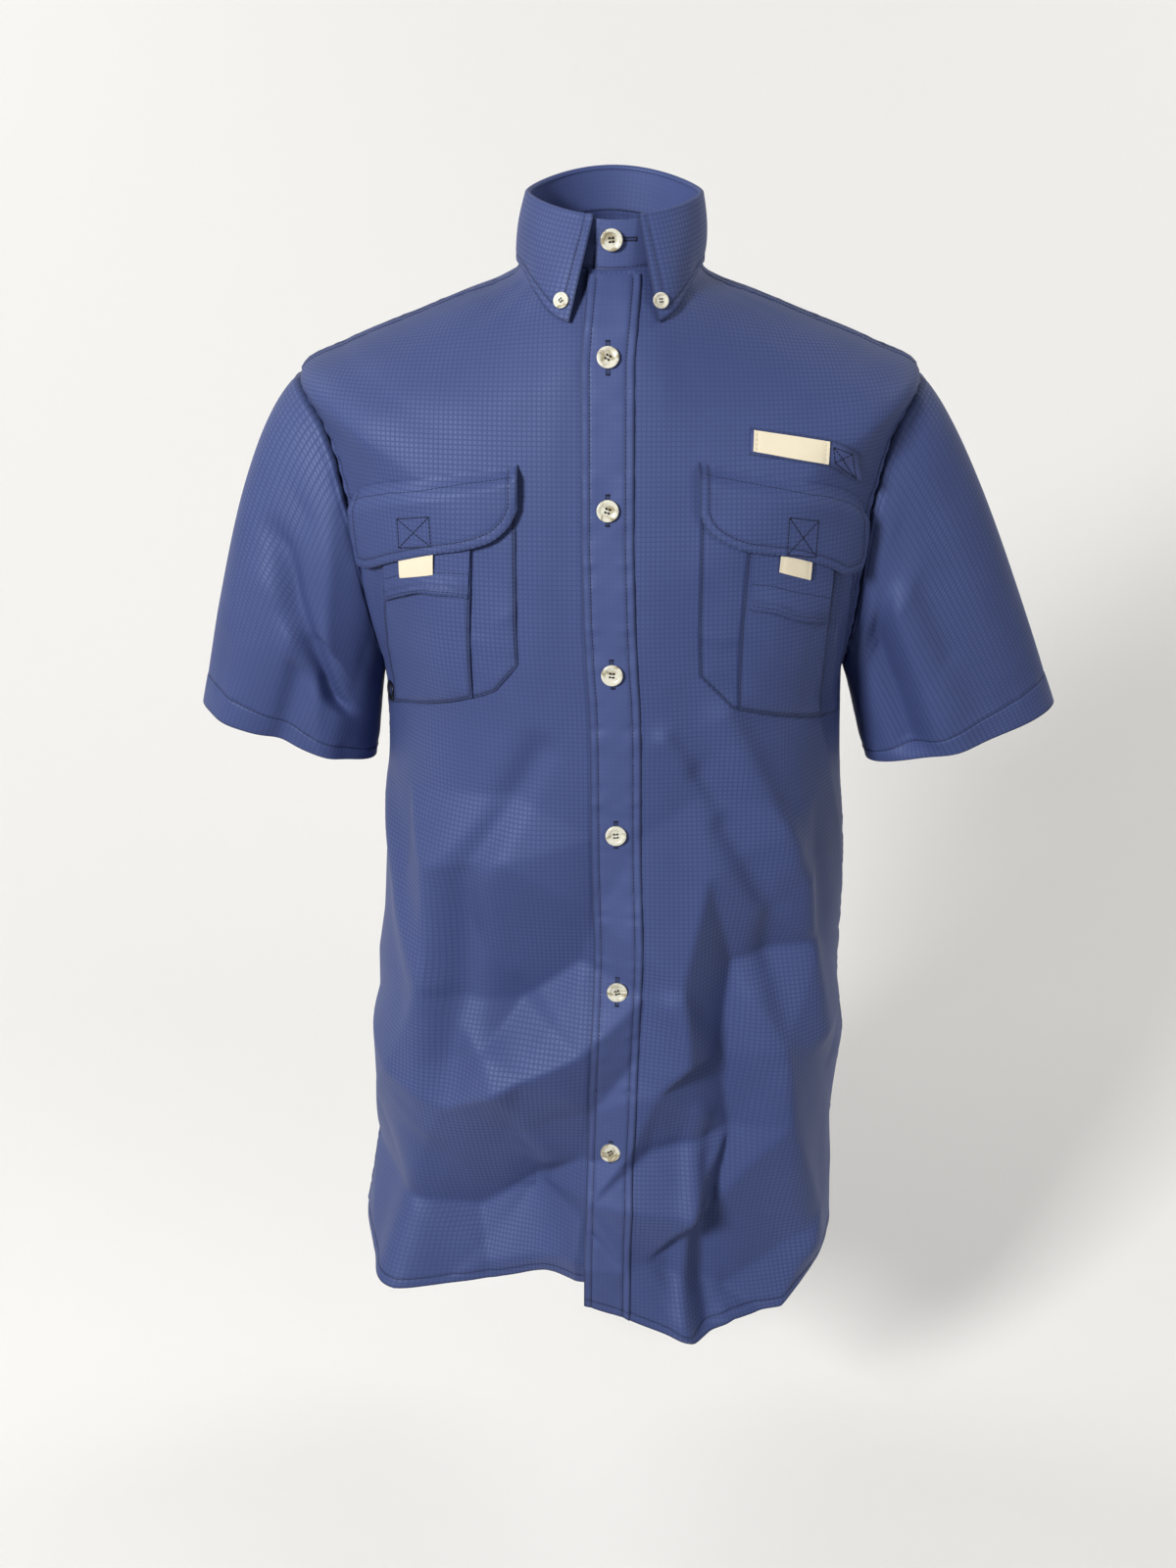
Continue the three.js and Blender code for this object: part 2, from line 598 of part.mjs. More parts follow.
function collarStand() {
  const sweep = STAND_UNDER_END - (STAND_OVER_END - 360);
  return wall(NECK_COLUMNS, STAND_ROWS, (u, v, face) => {
    const turn = radians(STAND_UNDER_END - sweep * u);
    const passed = STAND_UNDER_END - degrees(turn);
    const lapped = 2 * STAND_UNDER_END + STAND_LAP;
    const under = STAND_UNDER_INSET * (1 - smooth(passed, lapped, STAND_LEVEL_TURN));
    const seam = torso(0, turn);
    const z = mix(seam.z + SEAM_GAP, standTop(turn), v);
    const out = -under - STAND_LEAN * v - face * COLLAR_CLOTH;
    const point = seam.setZ(z).addScaledVector(outward(turn), out);
    return point.setX(point.x + COLLAR_TOP_SHIFT * v);
  });
}

// The leaf in cross section: it rises off the stand, bends over and falls to its edge
function leafSection(turn) {
  const top = standTop(turn);
  const seam = torso(0, turn);
  const plan = Math.hypot(seam.x, seam.y) - STAND_LEAN;
  const start = -COLLAR_CLOTH - LEAF_STAND_GAP;
  const away = Math.abs(((degrees(turn) + 540) % 360) - 180);
  const edgeZ = along(LEAF_EDGE, away);
  const below = torso(runAt(edgeZ, turn), turn);
  const clear = mix(LEAF_CLEAR_FRONT, LEAF_CLEAR, smooth(away, ...LEAF_CLEAR_TURNS)) + COLLAR_CLOTH;
  const least = start + 2 * LEAF_BEND + LEAF_SPREAD;
  const edgeOut = Math.max(Math.hypot(below.x, below.y) + clear - plan, least);
  const path = [[start, top + SEAM_GAP], [start, top + LEAF_RISE]];
  for (const bend of LEAF_BEND_ANGLES) {
    const a = radians(bend);
    path.push([start + LEAF_BEND * (1 - Math.cos(a)), top + LEAF_RISE + LEAF_BEND * Math.sin(a)]);
  }
  const brow = [start + 2 * LEAF_BEND, top + LEAF_RISE];
  for (let k = 0; k <= LEAF_FALL_ROWS; k += 1) {
    const t = k / LEAF_FALL_ROWS;
    const bulge = LEAF_FALL_BULGE * Math.sin(Math.PI * t);
    path.push([mix(brow[0], edgeOut, t) + bulge, mix(brow[1], edgeZ, t)]);
  }
  return path.map(([out, z]) => [plan + out, z]);
}

function leafPoint(u, k, face) {
  const down = clamp((k - LEAF_BEND_ROWS) / LEAF_FALL_ROWS, 0, 1);
  const right = mix(LEAF_FRONT.rightTop, LEAF_FRONT.rightPoint, down);
  const left = mix(LEAF_FRONT.leftTop, LEAF_FRONT.leftPoint, down) - 360;
  const turn = radians(mix(right, left, u));
  const path = leafSection(turn);
  const [before, after] = [path[Math.max(0, k - 1)], path[Math.min(path.length - 1, k + 1)]];
  const [dx, dz] = [after[0] - before[0], after[1] - before[1]];
  const length = Math.hypot(dx, dz);
  const thin = face * COLLAR_CLOTH / length;
  const [out, z] = [path[k][0] + dz * thin, path[k][1] - dx * thin];
  const x = Math.sin(turn) * out + COLLAR_TOP_SHIFT * (1 - down);
  return new THREE.Vector3(x, -Math.cos(turn) * out, z);
}

function collarLeaf() {
  const rows = LEAF_BEND_ROWS + LEAF_FALL_ROWS;
  return wall(NECK_COLUMNS, rows, (u, v, face, i, j) => leafPoint(u, j, face));
}

// A piece sewn on the chest; lift gives the height of its inner face at a place of it
function patch(table, rows, cloth, lift) {
  const edges = PATCH_COLUMNS.map((_, c) => table.map((row, i) => [i, row[c]]));
  const stops = [0];
  table.slice(1).forEach((row, i) => {
    const pieces = Math.ceil(Math.abs(row[0] - table[i][0]) / PATCH_CELL);
    for (let k = 1; k <= pieces; k += 1) stops.push(i + k / pieces);
  });
  return wall(stops.length - 1, rows, (_, v, face, i) => {
    const [topAcross, topZ, bottomAcross, bottomZ] = edges.map((edge) => along(edge, stops[i]));
    const u = stops[i] / (table.length - 1);
    const across = mix(topAcross, bottomAcross, v);
    const z = mix(topZ, bottomZ, v);
    return onChest(across, z, lift(u, v) + (1 - face) * cloth);
  });
}

function flapLift(u, v) {
  return mix(PATCH_GAP, FLAP_LIFT, smooth(v, 0, FLAP_RISE));
}

function weltLift(u, v) {
  return WELT_LIFT + WELT_GAPE * smooth(v, WELT_GAPE_START, 1) * Math.sin(Math.PI * u);
}

function rodLift(u, v) {
  const curl = smooth(u, ROD_CORNER_START.u, 1) * smooth(v, ROD_CORNER_START.v, 1);
  return ROD_LIFT + ROD_CORNER_LIFT * curl;
}

// A flat button or ring standing on the cloth at a point, facing along a direction
function standOn(shape, point, facing) {
  const turn = new THREE.Quaternion().setFromUnitVectors(new THREE.Vector3(0, 0, 1), facing);
  return shape.applyQuaternion(turn).translate(point.x, point.y, point.z);
}

function circle(radius, sides, x = 0, y = 0) {
  return Array.from({ length: sides }, (_, i) => {
    const a = 2 * Math.PI * (i + 0.5) / sides;
    return new THREE.Vector2(x + radius * Math.cos(a), y + radius * Math.sin(a));
  });
}

function disc(radius, sides, thick, holes) {
  const outline = new THREE.Shape(circle(radius, sides));
  outline.holes = holes.map((hole) => new THREE.Path(hole));
  return new THREE.ExtrudeGeometry(outline, { depth: thick, bevelEnabled: false });
}

function button(size) {
  const holes = HOLE_ANGLES.map((a) => circle(
    size.hole,
    HOLE_SIDES,
    size.holeOut * Math.cos(radians(a)),
    size.holeOut * Math.sin(radians(a)),
  ));
  return disc(size.radius, size.sides, size.thick, holes);
}

function chestFacing(across, z) {
  return onChest(across, z, 1).sub(onChest(across, z, 0)).normalize();
}

function frontButton(z) {
  const across = placketMiddle(z);
  const point = onChest(across, z, PLACKET_LIFT + PLACKET_CLOTH + SEAM_GAP);
  return standOn(button(BUTTON), point, chestFacing(across, z));
}

function standButton() {
  const turn = radians(STAND_BUTTON_TURN);
  const seam = torso(0, turn);
  const middle = seam.setZ(mix(seam.z, standTop(turn), STAND_BUTTON_UP));
  const point = middle.addScaledVector(outward(turn), SEAM_GAP);
  return standOn(button(BUTTON), point, outward(turn));
}

// Collar point button, square to the leaf and a gap off its face
function tipButton(side) {
  const { round, down } = TIP_PLACES[side];
  const last = LEAF_BEND_ROWS + LEAF_FALL_ROWS;
  const [here, inner] = [0, 1].map(
    (face) => leafPoint(round, last - 1, face).lerp(leafPoint(round, last, face), down),
  );
  const facing = here.clone().sub(inner).normalize();
  return standOn(button(TIP_BUTTON), here.addScaledVector(facing, TIP_BUTTON_GAP), facing);
}

const solids = await ManifoldModule();
solids.setup();

function solid(shape) {
  return new solids.Manifold(new solids.Mesh({
    numProp: 3,
    vertProperties: new Float32Array(shape.attributes.position.array),
    triVerts: new Uint32Array(shape.index.array),
  }));
}

// Cuts a round hole through a piece
function withHole(shape, point, facing, radius) {
  const drill = new THREE.CylinderGeometry(radius, radius, DRILL_LONG, EYELET.holeSides).rotateX(Math.PI / 2);
  drill.deleteAttribute('uv');
  drill.deleteAttribute('normal');
  const cutter = mergeVertices(standOn(drill, point, facing));
  const cut = solid(shape).subtract(solid(cutter)).getMesh();
  const made = new THREE.BufferGeometry();
  made.setAttribute('position', new THREE.Float32BufferAttribute(cut.vertProperties, 3));
  made.setIndex(Array.from(cut.triVerts));
  made.computeVertexNormals();
  return made;
}

const EYELET_PLACE = onChest(EYELET.across, EYELET.z, BASE_LIFT + PATCH_CLOTH + SEAM_GAP);
const EYELET_FACING = chestFacing(EYELET.across, EYELET.z);

function eyelet() {
  const ring = disc(EYELET.outer, EYELET.sides, EYELET.thick, [circle(EYELET.hole, EYELET.holeSides)]);
  return standOn(ring, EYELET_PLACE, EYELET_FACING);
}

function pocket(name, tables) {
  const group = new THREE.Group();
  group.name = `${name}_pocket`;
  const base = patch(tables.base, PATCH_ROWS.base, PATCH_CLOTH, () => BASE_LIFT);
  const drained = name === 'right'
    ? withHole(base, EYELET_PLACE, EYELET_FACING, EYELET.hole)
    : base;
  const front = patch(tables.front, PATCH_ROWS.front, PATCH_CLOTH, () => FRONT_LIFT);
  const welt = patch(tables.welt, PATCH_ROWS.welt, PATCH_CLOTH, weltLift);
  const tab = patch(tables.tab, PATCH_ROWS.tab, LABEL_CLOTH, () => TAB_LIFT);
  const flap = patch(tables.flap, PATCH_ROWS.flap, PATCH_CLOTH, flapLift);
  group.add(
    piece(`${name}_pocket_base`, drained, CLOTH_LOOK),
    piece(`${name}_pocket_front`, front, CLOTH_LOOK),
    piece(`${name}_pocket_welt`, welt, CLOTH_LOOK),
    piece(`${name}_pocket_tab`, tab, LABEL_LOOK),
    piece(`${name}_pocket_flap`, flap, CLOTH_LOOK),
  );
  return group;
}

const group = new THREE.Group();
group.name = 'shirt';

const torsoGroup = new THREE.Group();
torsoGroup.name = 'torso';
torsoGroup.add(
  piece('front_right', frontRight(), CLOTH_LOOK),
  piece('front_left', frontLeft(), CLOTH_LOOK),
  piece('placket', placket(), CLOTH_LOOK),
  piece('back', back(), CLOTH_LOOK),
);

const sleeveGroup = new THREE.Group();
sleeveGroup.name = 'sleeves';
sleeveGroup.add(
  piece('sleeve_right', sleeve('right'), CLOTH_LOOK),
  piece('sleeve_left', sleeve('left'), CLOTH_LOOK),
);

const collarGroup = new THREE.Group();
collarGroup.name = 'collar';
collarGroup.add(
  piece('collar_stand', collarStand(), CLOTH_LOOK),
  piece('collar_leaf', collarLeaf(), CLOTH_LOOK),
);

const rodTab = patch(ROD_TAB, PATCH_ROWS.rod, PATCH_CLOTH, rodLift);
const rodLabel = patch(ROD_LABEL, PATCH_ROWS.rodLabel, LABEL_CLOTH, () => ROD_LABEL_LIFT);
const rodGroup = new THREE.Group();
rodGroup.name = 'rod_tab_group';
rodGroup.add(piece('rod_tab', rodTab, CLOTH_LOOK), piece('rod_tab_label', rodLabel, LABEL_LOOK));

const buttonGroup = new THREE.Group();
buttonGroup.name = 'buttons';
buttonGroup.add(piece('button_1', standButton(), BUTTON_LOOK));
FRONT_BUTTON_Z.forEach((z, i) => buttonGroup.add(piece(`button_${i + 2}`, frontButton(z), BUTTON_LOOK)));
buttonGroup.add(
  piece('collar_button_right', tipButton('right'), BUTTON_LOOK),
  piece('collar_button_left', tipButton('left'), BUTTON_LOOK),
);

group.add(
  torsoGroup,
  sleeveGroup,
  collarGroup,
  pocket('right', RIGHT_POCKET),
  pocket('left', LEFT_POCKET),
  piece('eyelet', eyelet(), EYELET_LOOK),
  rodGroup,
  buttonGroup,
);

export default group;
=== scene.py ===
"""Looks of a short-sleeved field shirt, laid over its CAD frame.

Tables and sizes are in millimetres and degrees. They become metres where a mesh is made.
+Z is up and the front faces -Y, so the wearer's left is +X. A turn is the angle round the
body from the centre front, positive towards the wearer's left. A run is the way down the
cloth from the neck seam.
"""
import math

import bpy
import numpy as np
from mathutils import Matrix, Vector
from mathutils.bvhtree import BVHTree
from mathutils.geometry import delaunay_2d_cdt


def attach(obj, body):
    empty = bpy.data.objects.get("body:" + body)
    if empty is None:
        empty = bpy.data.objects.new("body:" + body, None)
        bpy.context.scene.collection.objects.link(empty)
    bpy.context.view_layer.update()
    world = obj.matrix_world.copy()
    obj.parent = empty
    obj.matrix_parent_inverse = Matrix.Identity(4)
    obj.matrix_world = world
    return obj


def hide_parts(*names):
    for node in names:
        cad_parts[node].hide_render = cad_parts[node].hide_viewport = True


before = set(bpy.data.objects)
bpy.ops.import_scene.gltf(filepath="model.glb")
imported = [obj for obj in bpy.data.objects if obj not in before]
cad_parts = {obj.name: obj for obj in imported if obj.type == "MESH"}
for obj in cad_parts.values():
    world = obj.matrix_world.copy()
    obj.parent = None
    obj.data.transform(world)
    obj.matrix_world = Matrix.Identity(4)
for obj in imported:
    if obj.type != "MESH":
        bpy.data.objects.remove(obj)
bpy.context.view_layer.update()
bpy.ops.object.select_all(action="DESELECT")

MM = 0.001

# Cloth thickness and how far the layers stand off each other
CLOTH = 0.8
COLLAR_CLOTH = 1.3
LABEL_CLOTH = 0.7
LAP_LIFT = 1.7
LAP_FULL = 20
LAP_END = 58
PLACKET_LIFT = 2.3
PLACKET_CLOTH = 1.0
PLACKET_WIDTH = 35
PLACKET_STITCH = 5.5
UNDER_EDGE = 15
OVER_EDGE = 0.6 - PLACKET_WIDTH / 2
BASE_LIFT = 0.6
FRONT_LIFT = 2.3
WELT_LIFT = 3.9
WELT_GAPE = 3.4
TAB_LIFT = 5.6
FLAP_LIFT = 7.0
ROD_LIFT = 0.6
ROD_LABEL_LIFT = 1.9

# Armholes
TIP_RUN = 206
UNDERARM_RUN = 330
SCOOP_FRONT = 19.5
SCOOP_BACK = 18
ARMHOLE_ROUND = 190
BAND_WIDTH = 8.5
SEAM_ROWS = (1.8, 8.0)
LADDER_PITCH = 7.5
SIDE_LENGTH = 485
LONGEST_RUN = 900
CHART_TOP, CHART_BOTTOM, CHART_ROWS = 30, -840, 200
CHART_REACH = 320
HALVINGS = 16
CREASE_ROUND = 1.2
HEM_RUN = 815

# Mesh steps
BODY_STEP = 3.0
BACK_STEP = 4.0
PATCH_STEP = 1.7
EDGE_STEP = 1.5
PANEL_WIDTH = 290

# Cross sections of the torso, a row per level down the cloth
# run, wide, front, back, middle x, middle y, z in front, z at the side, z behind, squareness
TORSO = np.array([
    [0, 60, 60, 58, 0, 0, 0, 12, 24, 2.0],
    [16, 63, 71, 64, 0, 0, -12, -5, 6, 2.0],
    [36, 78, 83, 76, 0, 0, -29, -15, -14, 2.05],
    [64, 101, 96, 88, 0, 0, -54, -23, -40, 2.1],
    [104, 138, 109, 101, 0, 0, -92, -38, -80, 2.15],
    [156, 184, 121, 113, 0, 0, -142, -57, -132, 2.2],
    [206, 217.5, 128, 119, 0, 0, -192, -79, -184, 2.25],
    [221, 206, 130, 121, 0, 0, -207, -102, -200, 2.3],
    [236, 199, 131, 122, 0, 0, -222, -131, -216, 2.3],
    [266, 193, 133, 124, 1, 0, -252, -182, -248, 2.3],
    [296, 182, 134, 125, 3, 0, -282, -238, -280, 2.3],
    [330, 169, 135, 126, 4, 0, -316, -292, -314, 2.35],
    [380, 170, 136, 128, 4.5, 0, -366, -354, -366, 2.4],
    [490, 177, 137, 130, 5.5, -2, -476, -468, -477, 2.4],
    [610, 181, 139, 133, 1, -5, -596, -583, -598, 2.35],
    [720, 183.5, 141, 136, -2.5, -9, -706, -683, -709, 2.2],
    [815, 186.5, 143, 138, -2, -12, -800, -765, -806, 2.1],
])

# Folds of the hanging cloth, from one turn and height to another
# turn, z, turn, z, half width, how far out at either end, how crisp from 0 to 1
FOLDS = [
    [-78, -380, -52, -509, 15, 3, 8, 0],
    [-52, -509, -50, -632, 15, 8, 3, 0],
    [-22, -316, -42, -414, 12, -3, -8, 0],
    [-42, -414, -45, -560, 13, -8, -6, 0],
    [-45, -560, -52, -660, 16, -6, -3, 0],
    [-35, -560, -20, -655, 16, 6, 5, 0],
    [14, -306, 28, -363, 9, 4, 3, 0],
    [31, -293, 54, -432, 13, 5, 8, 0],
    [54, -432, 61, -560, 14, 8, 4, 0],
    [24, -335, 44, -445, 11, -4, -6, 0],
    [44, -445, 50, -560, 12, -6, -2, 0],
    [16, -509, 28, -549, 13, 5, 4, 0],
    [27, -610, 23, -790, 9, 3, 7, 0],
    [31, -650, 31, -790, 9, -3, -6, 0],
    [40, -520, 62, -750, 17, 3, 8, 0],
    [128, -240, 134, -800, 24, 2, 11, 0],
    [152, -300, 150, -800, 20, -3, -9, 0],
    [-172, -200, -176, -800, 24, 3, 10, 0],
    [-150, -300, -154, -800, 20, -2, -9, 0],
    [-126, -260, -122, -800, 24, 2, 9, 0],
]
UNDER_FOLDS = [
    [-58, -640, -59, -800, 24, 2, 29, 0],
    [-20, -655, -18, -800, 42, -2, -33, 0],
    [8, -660, 8, -800, 26, -4, -22, 0],
]
# Smaller creases and pressed lines that only the cloth itself shows
CREASES = [
    [62, -318, 82, -470, 5, 1.6, 1.0, 0.9],
    [54, -432, 60, -530, 5, 1.4, 0.5, 0.9],
    [34, -300, 50, -400, 5, 0.6, 1.4, 0.8],
    [-8, -562, 34, -566, 4, 0.5, 0.5, 0.9],
    [9, -627, 30, -628, 4, 0.6, 0.6, 0.9],
    [-30, -492, -12, -540, 6, 1.2, 0.4, 0.7],
    [-10, -492, -30, -584, 5, 0.8, 0.8, 0.8],
    [-60, -617, -25, -690, 6, 0.9, 1.2, 0.8],
    [-25, -690, -47, -760, 7, -1.5, -1.0, 0.6],
    [30, -610, 22, -781, 4, 1.0, 1.4, 0.8],
    [-35, -563, -10, -725, 6, 1.2, 0.8, 0.7],
    [-78, -389, -51, -509, 6, 0.8, 1.0, 0.6],
    [-70, -200, -66, -300, 8, 1.2, 0.6, 0.4],
    [68, -210, 74, -300, 8, 1.4, 0.6, 0.5],
    [-60, -90, -76, -170, 9, 1.2, 1.6, 0.2],
    [64, -100, 78, -180, 9, 1.4, 1.8, 0.2],
    [20, -70, 48, -96, 12, 0.8, 0.6, 0.1],
    [-16, -60, -44, -84, 12, 0.8, 0.6, 0.1],
    [120, -330, 165, -420, 10, 1.4, 0.8, 0.5],
    [-120, -330, -160, -430, 10, 1.4, 0.8, 0.5],
    [140, -560, 176, -600, 9, 1.0, 0.6, 0.6],
    [-140, -600, -172, -650, 9, 1.0, 0.6, 0.6],
]
MM_PER_DEGREE = 2.9
# Flat facets between sharp creases, as stiff light cloth falls: turn, z and how far out each corner is
FACET_DEPTH = 1.65
FACETS = [
    [-80, -380, 0], [-62, -360, 0], [-30, -350, 0], [-7, -380, 0], [-86, -560, 0], [-89, -700, 0],
    [-86, -860, 0], [-40, -880, 0], [-5, -880, 0], [-6, -440, 0], [-5, -600, 0], [-5, -680, 0],
    [-62, -434, 2], [-52, -413, 11], [-32, -400, 7], [-52, -516, 9], [-11, -482, -7], [-29, -518, -10],
    [-37, -554, 5], [-25, -568, 13], [-10, -549, 9], [-61, -589, 14], [-46, -606, 12], [-30, -628, -5],
    [-9, -654, -11], [-74, -640, 4], [-61, -705, -6], [-43, -712, -18], [-24, -680, -20],
    [-38, -752, -6], [-64, -800, 12], [-10, -735, 5], [-8, -699, -5],
    [7, -380, 0], [24, -350, 0], [60, -370, 0], [86, -420, 0], [88, -560, 0], [89, -700, 0],
    [86, -860, 0], [40, -880, 0], [6, -880, 0], [6, -560, 0], [6, -640, 0], [6, -740, 0],
    [26, -410, 6], [19, -491, 9], [9, -502, 2], [22, -559, 10], [14, -584, 6], [35, -487, -8],
    [33, -560, -8], [41, -443, 4], [48, -560, 9], [38, -628, -8], [50, -625, 9], [13, -640, -5],
    [25, -690, 9], [33, -699, -7], [26, -800, 11], [38, -770, -7], [50, -800, 7], [65, -724, 5],
    [60, -480, -3], [66, -600, 3], [13, -735, -2],
    [92, -340, 0], [92, -520, 0], [92, -700, 0], [92, -880, 0], [125, -300, 0], [160, -250, 0],
    [110, -430, 4], [126, -520, -5], [108, -610, 6], [142, -410, -3], [150, -560, 6], [133, -680, 8],
    [116, -760, -6], [157, -720, -6], [168, -460, 3], [169, -640, 5], [128, -880, 5], [150, -880, -3],
    [180, -260, 0], [180, -430, -3], [180, -590, -5], [180, -740, 4], [180, -880, 6],
    [-180, -260, 0], [-180, -430, -3], [-180, -590, -5], [-180, -740, 4], [-180, -880, 6],
    [-92, -340, 0], [-92, -520, 0], [-92, -700, 0], [-92, -880, 0], [-120, -310, 0], [-155, -250, 0],
    [-113, -450, -4], [-124, -560, 6], [-107, -660, -4], [-143, -440, 5], [-148, -600, -6], [-135, -730, 8],
    [-116, -790, 4], [-162, -520, 4], [-160, -680, 6], [-128, -880, -3], [-152, -880, -2],
]

HEM_OVER = [
    [-12, -760], [7, -783], [25, -799], [38, -792], [52, -793], [63, -776], [75, -766], [90, -766],
]
HEM_UNDER = [[-90, -766], [-75, -769], [-57, -774], [-35, -766], [-20, -757], [12, -754]]
HEM_BACK = [[90, -766], [115, -780], [150, -800], [180, -806], [210, -800], [245, -780], [270, -766]]
PLACKET_LINE = [
    [-800, 1], [-686, 2.5], [-600, 1.5], [-524, 0.5], [-460, 0.5], [-400, -0.5],
    [-320, -0.5], [-240, -0.5], [-171, -2.5], [-52, -2.5], [-6, 2], [20, 2],
]
HEM_STITCH = 7.0
SIDE_HEM_Z = -766.0

# Sleeves: the cuff's middle, half widths, tilts, and the puff above the line to the cuff
SLEEVES = {
    "right": dict(side=-1, x=-241, y=-2, z=-348.5, reach=67.8, deep=54, tilt=19.4, pitch=8, puff=15),
    "left": dict(side=1, x=265.8, y=-2, z=-349.5, reach=73, deep=54, tilt=18.8, pitch=8, puff=10),
}
SLEEVE_LENGTH = 258
SLEEVE_HEM = 24
SLEEVE_PER_DEGREE = 1.1
# turn, way down, turn, way down, half width, out at either end, crispness
SLEEVE_FOLDS = {
    "right": [
        [50, 0.35, 112, 0.62, 12, -7, -10, 0],
        [84, 0.66, 88, 1, 13, -7, -8, 0],
        [48, 0.5, 52, 1, 15, 3, 4, 0],
        [118, 0.7, 120, 1, 12, 3, 4, 0],
        [240, 0.2, 250, 1, 18, 2, 6, 0],
        [290, 0.3, 285, 1, 16, -2, -5, 0],
        [70, 0.08, 92, 0.42, 8, 3.0, 4.5, 0.4],
        [92, 0.42, 104, 0.58, 6, -3.5, -3.0, 0.7],
        [52, 0.2, 66, 0.5, 7, -2.5, -2.5, 0.5],
        [72, 0.55, 80, 0.95, 6, 3.0, 2.0, 0.6],
        [96, 0.58, 112, 0.95, 6, 3.0, 2.0, 0.6],
        [20, 0.1, 30, 0.7, 10, 1.5, 2.5, 0.2],
    ],
    "left": [
        [112, 0.2, 124, 0.9, 13, -8, -8, 0],
        [84, 0.3, 98, 1, 15, 6, 7, 0],
        [240, 0.2, 250, 1, 18, 2, 6, 0],
        [290, 0.3, 285, 1, 16, -2, -5, 0],
        [90, 0.25, 104, 0.92, 7, 3.6, 2.6, 0.6],
        [118, 0.25, 126, 0.85, 7, -3.6, -2.4, 0.6],
        [68, 0.15, 76, 0.6, 8, -2.0, -1.5, 0.4],
        [40, 0.1, 46, 0.8, 10, 1.5, 2.0, 0.2],
    ],
}

# Collar
STAND_TOP = dict(front=33, side=42, back=52)
STAND_LEAN = 1.0
STAND_CORNER = 9.0
COLLAR_TOP_SHIFT = 2.5
STAND_OVER_END = -10.8
STAND_UNDER_END = 13.4
STAND_UNDER_INSET = 2.0
LEAF_RISE = 1.2
LEAF_BEND = 2.0
LEAF_FALL_BULGE = 2.0
LEAF_FRONT = dict(right_top=-14, right_point=-18.4, left_top=15, left_point=20.2)
LEAF_LENGTH = 400
LEAF_FALL = 55
LEAF_STITCH = 6
NECK_PER_DEGREE = 1.05
LEAF_EDGE = [[0, -30], [19, -28.5], [42, -14.5], [73, -2], [110, 0], [150, 6], [180, 8]]

# Pieces sewn on the chest: along the top edge and the bottom edge, across and z of each point
RIGHT_POCKET = dict(
    base=[
        [-64, -130, -64.5, -253], [-83, -134, -82.5, -273.5], [-93, -136, -93, -278],
        [-125, -142, -125, -288], [-155, -149, -156, -297], [-180, -157, -184, -306],
        [-188, -163, -207, -314],
    ],
    front=[
        [-92, -146, -99, -279.5], [-110, -150, -122, -287], [-135, -155, -150, -295.5],
        [-157, -161, -183, -304],
    ],
    welt=[
        [-93, -161, -96.5, -207], [-110, -164, -110, -205.5], [-127, -167, -128, -205.5],
        [-144, -171, -146, -211], [-160, -176, -164, -219],
    ],
    tab=[[-118, -163, -120, -192], [-144, -168, -146, -198]],
    flap=[
        [-62, -117, -62, -145], [-66, -118, -67, -155], [-78, -120, -79, -166],
        [-93, -122, -93, -171], [-122, -127, -122, -178], [-150, -132, -150, -187],
        [-176, -139.5, -177, -197], [-187, -144, -189, -198], [-191, -147, -192, -191],
    ],
)
LEFT_POCKET = dict(
    base=[
        [59.5, -130, 59.5, -261], [70, -132, 70, -273], [81, -134, 81, -285.5],
        [105, -139, 105, -294.5], [135, -146, 135, -303], [165, -154, 166, -311],
        [180, -163, 196, -316],
    ],
    front=[
        [93, -147, 84.5, -286], [115, -152, 110, -294], [138, -157, 136, -301.5],
        [161, -164, 161, -308],
    ],
    welt=[
        [94.5, -166, 94, -215], [110, -169, 110, -218], [125, -173, 125, -224.5],
        [141, -178, 141, -229], [157, -184, 156.5, -234],
    ],
    tab=[[113.5, -162, 113, -189.5], [137, -168, 136.5, -198]],
    flap=[
        [58, -115, 58.5, -148], [62, -116, 62.5, -157], [71, -118, 71, -165],
        [86, -121, 86, -172], [119, -127.5, 119, -179], [147, -134, 148, -190],
        [168, -142, 169, -200], [182, -150.5, 184, -200], [187, -157, 190, -190],
    ],
)
ROD_TAB = [
    [92.5, -94.5, 92, -111.5], [120, -99, 119.5, -116], [147, -104, 147, -121.5],
    [162, -110, 164, -130.5], [173, -116.5, 180, -138],
]
ROD_LABEL = [[94.5, -96.5, 94, -109.5], [120, -101, 119.5, -114.5], [146, -105.5, 145.5, -119.5]]
# Stitched crosses on the flaps, and on the rod tab: across from, across to, z from, z to
FLAP_CROSS = dict(right=(-144, -120, -155, -176), left=(117, 139, -151, -177))
ROD_CROSS = [(149, -109), (165, -115), (172, -133), (151, -119)]

FRONT_BUTTON_Z = [-51, -146, -257, -376, -500, -636]
STAND_BUTTON_UP = 0.63
BUTTON_RADIUS = 7.4
BUTTON_THICK = 2.6
TIP_BUTTON_RADIUS = 5.4
TIP_BUTTON_THICK = 2.2
# Small buttons on the leaf: round it from 0 to 1, and down its last quarter
TIP_PLACES = dict(right=(0.017, 0.28), left=(0.992, 0.25))
# Places across and z, radii
EYELET = dict(across=-193, z=-300, outer=7.6, hole=4.2)

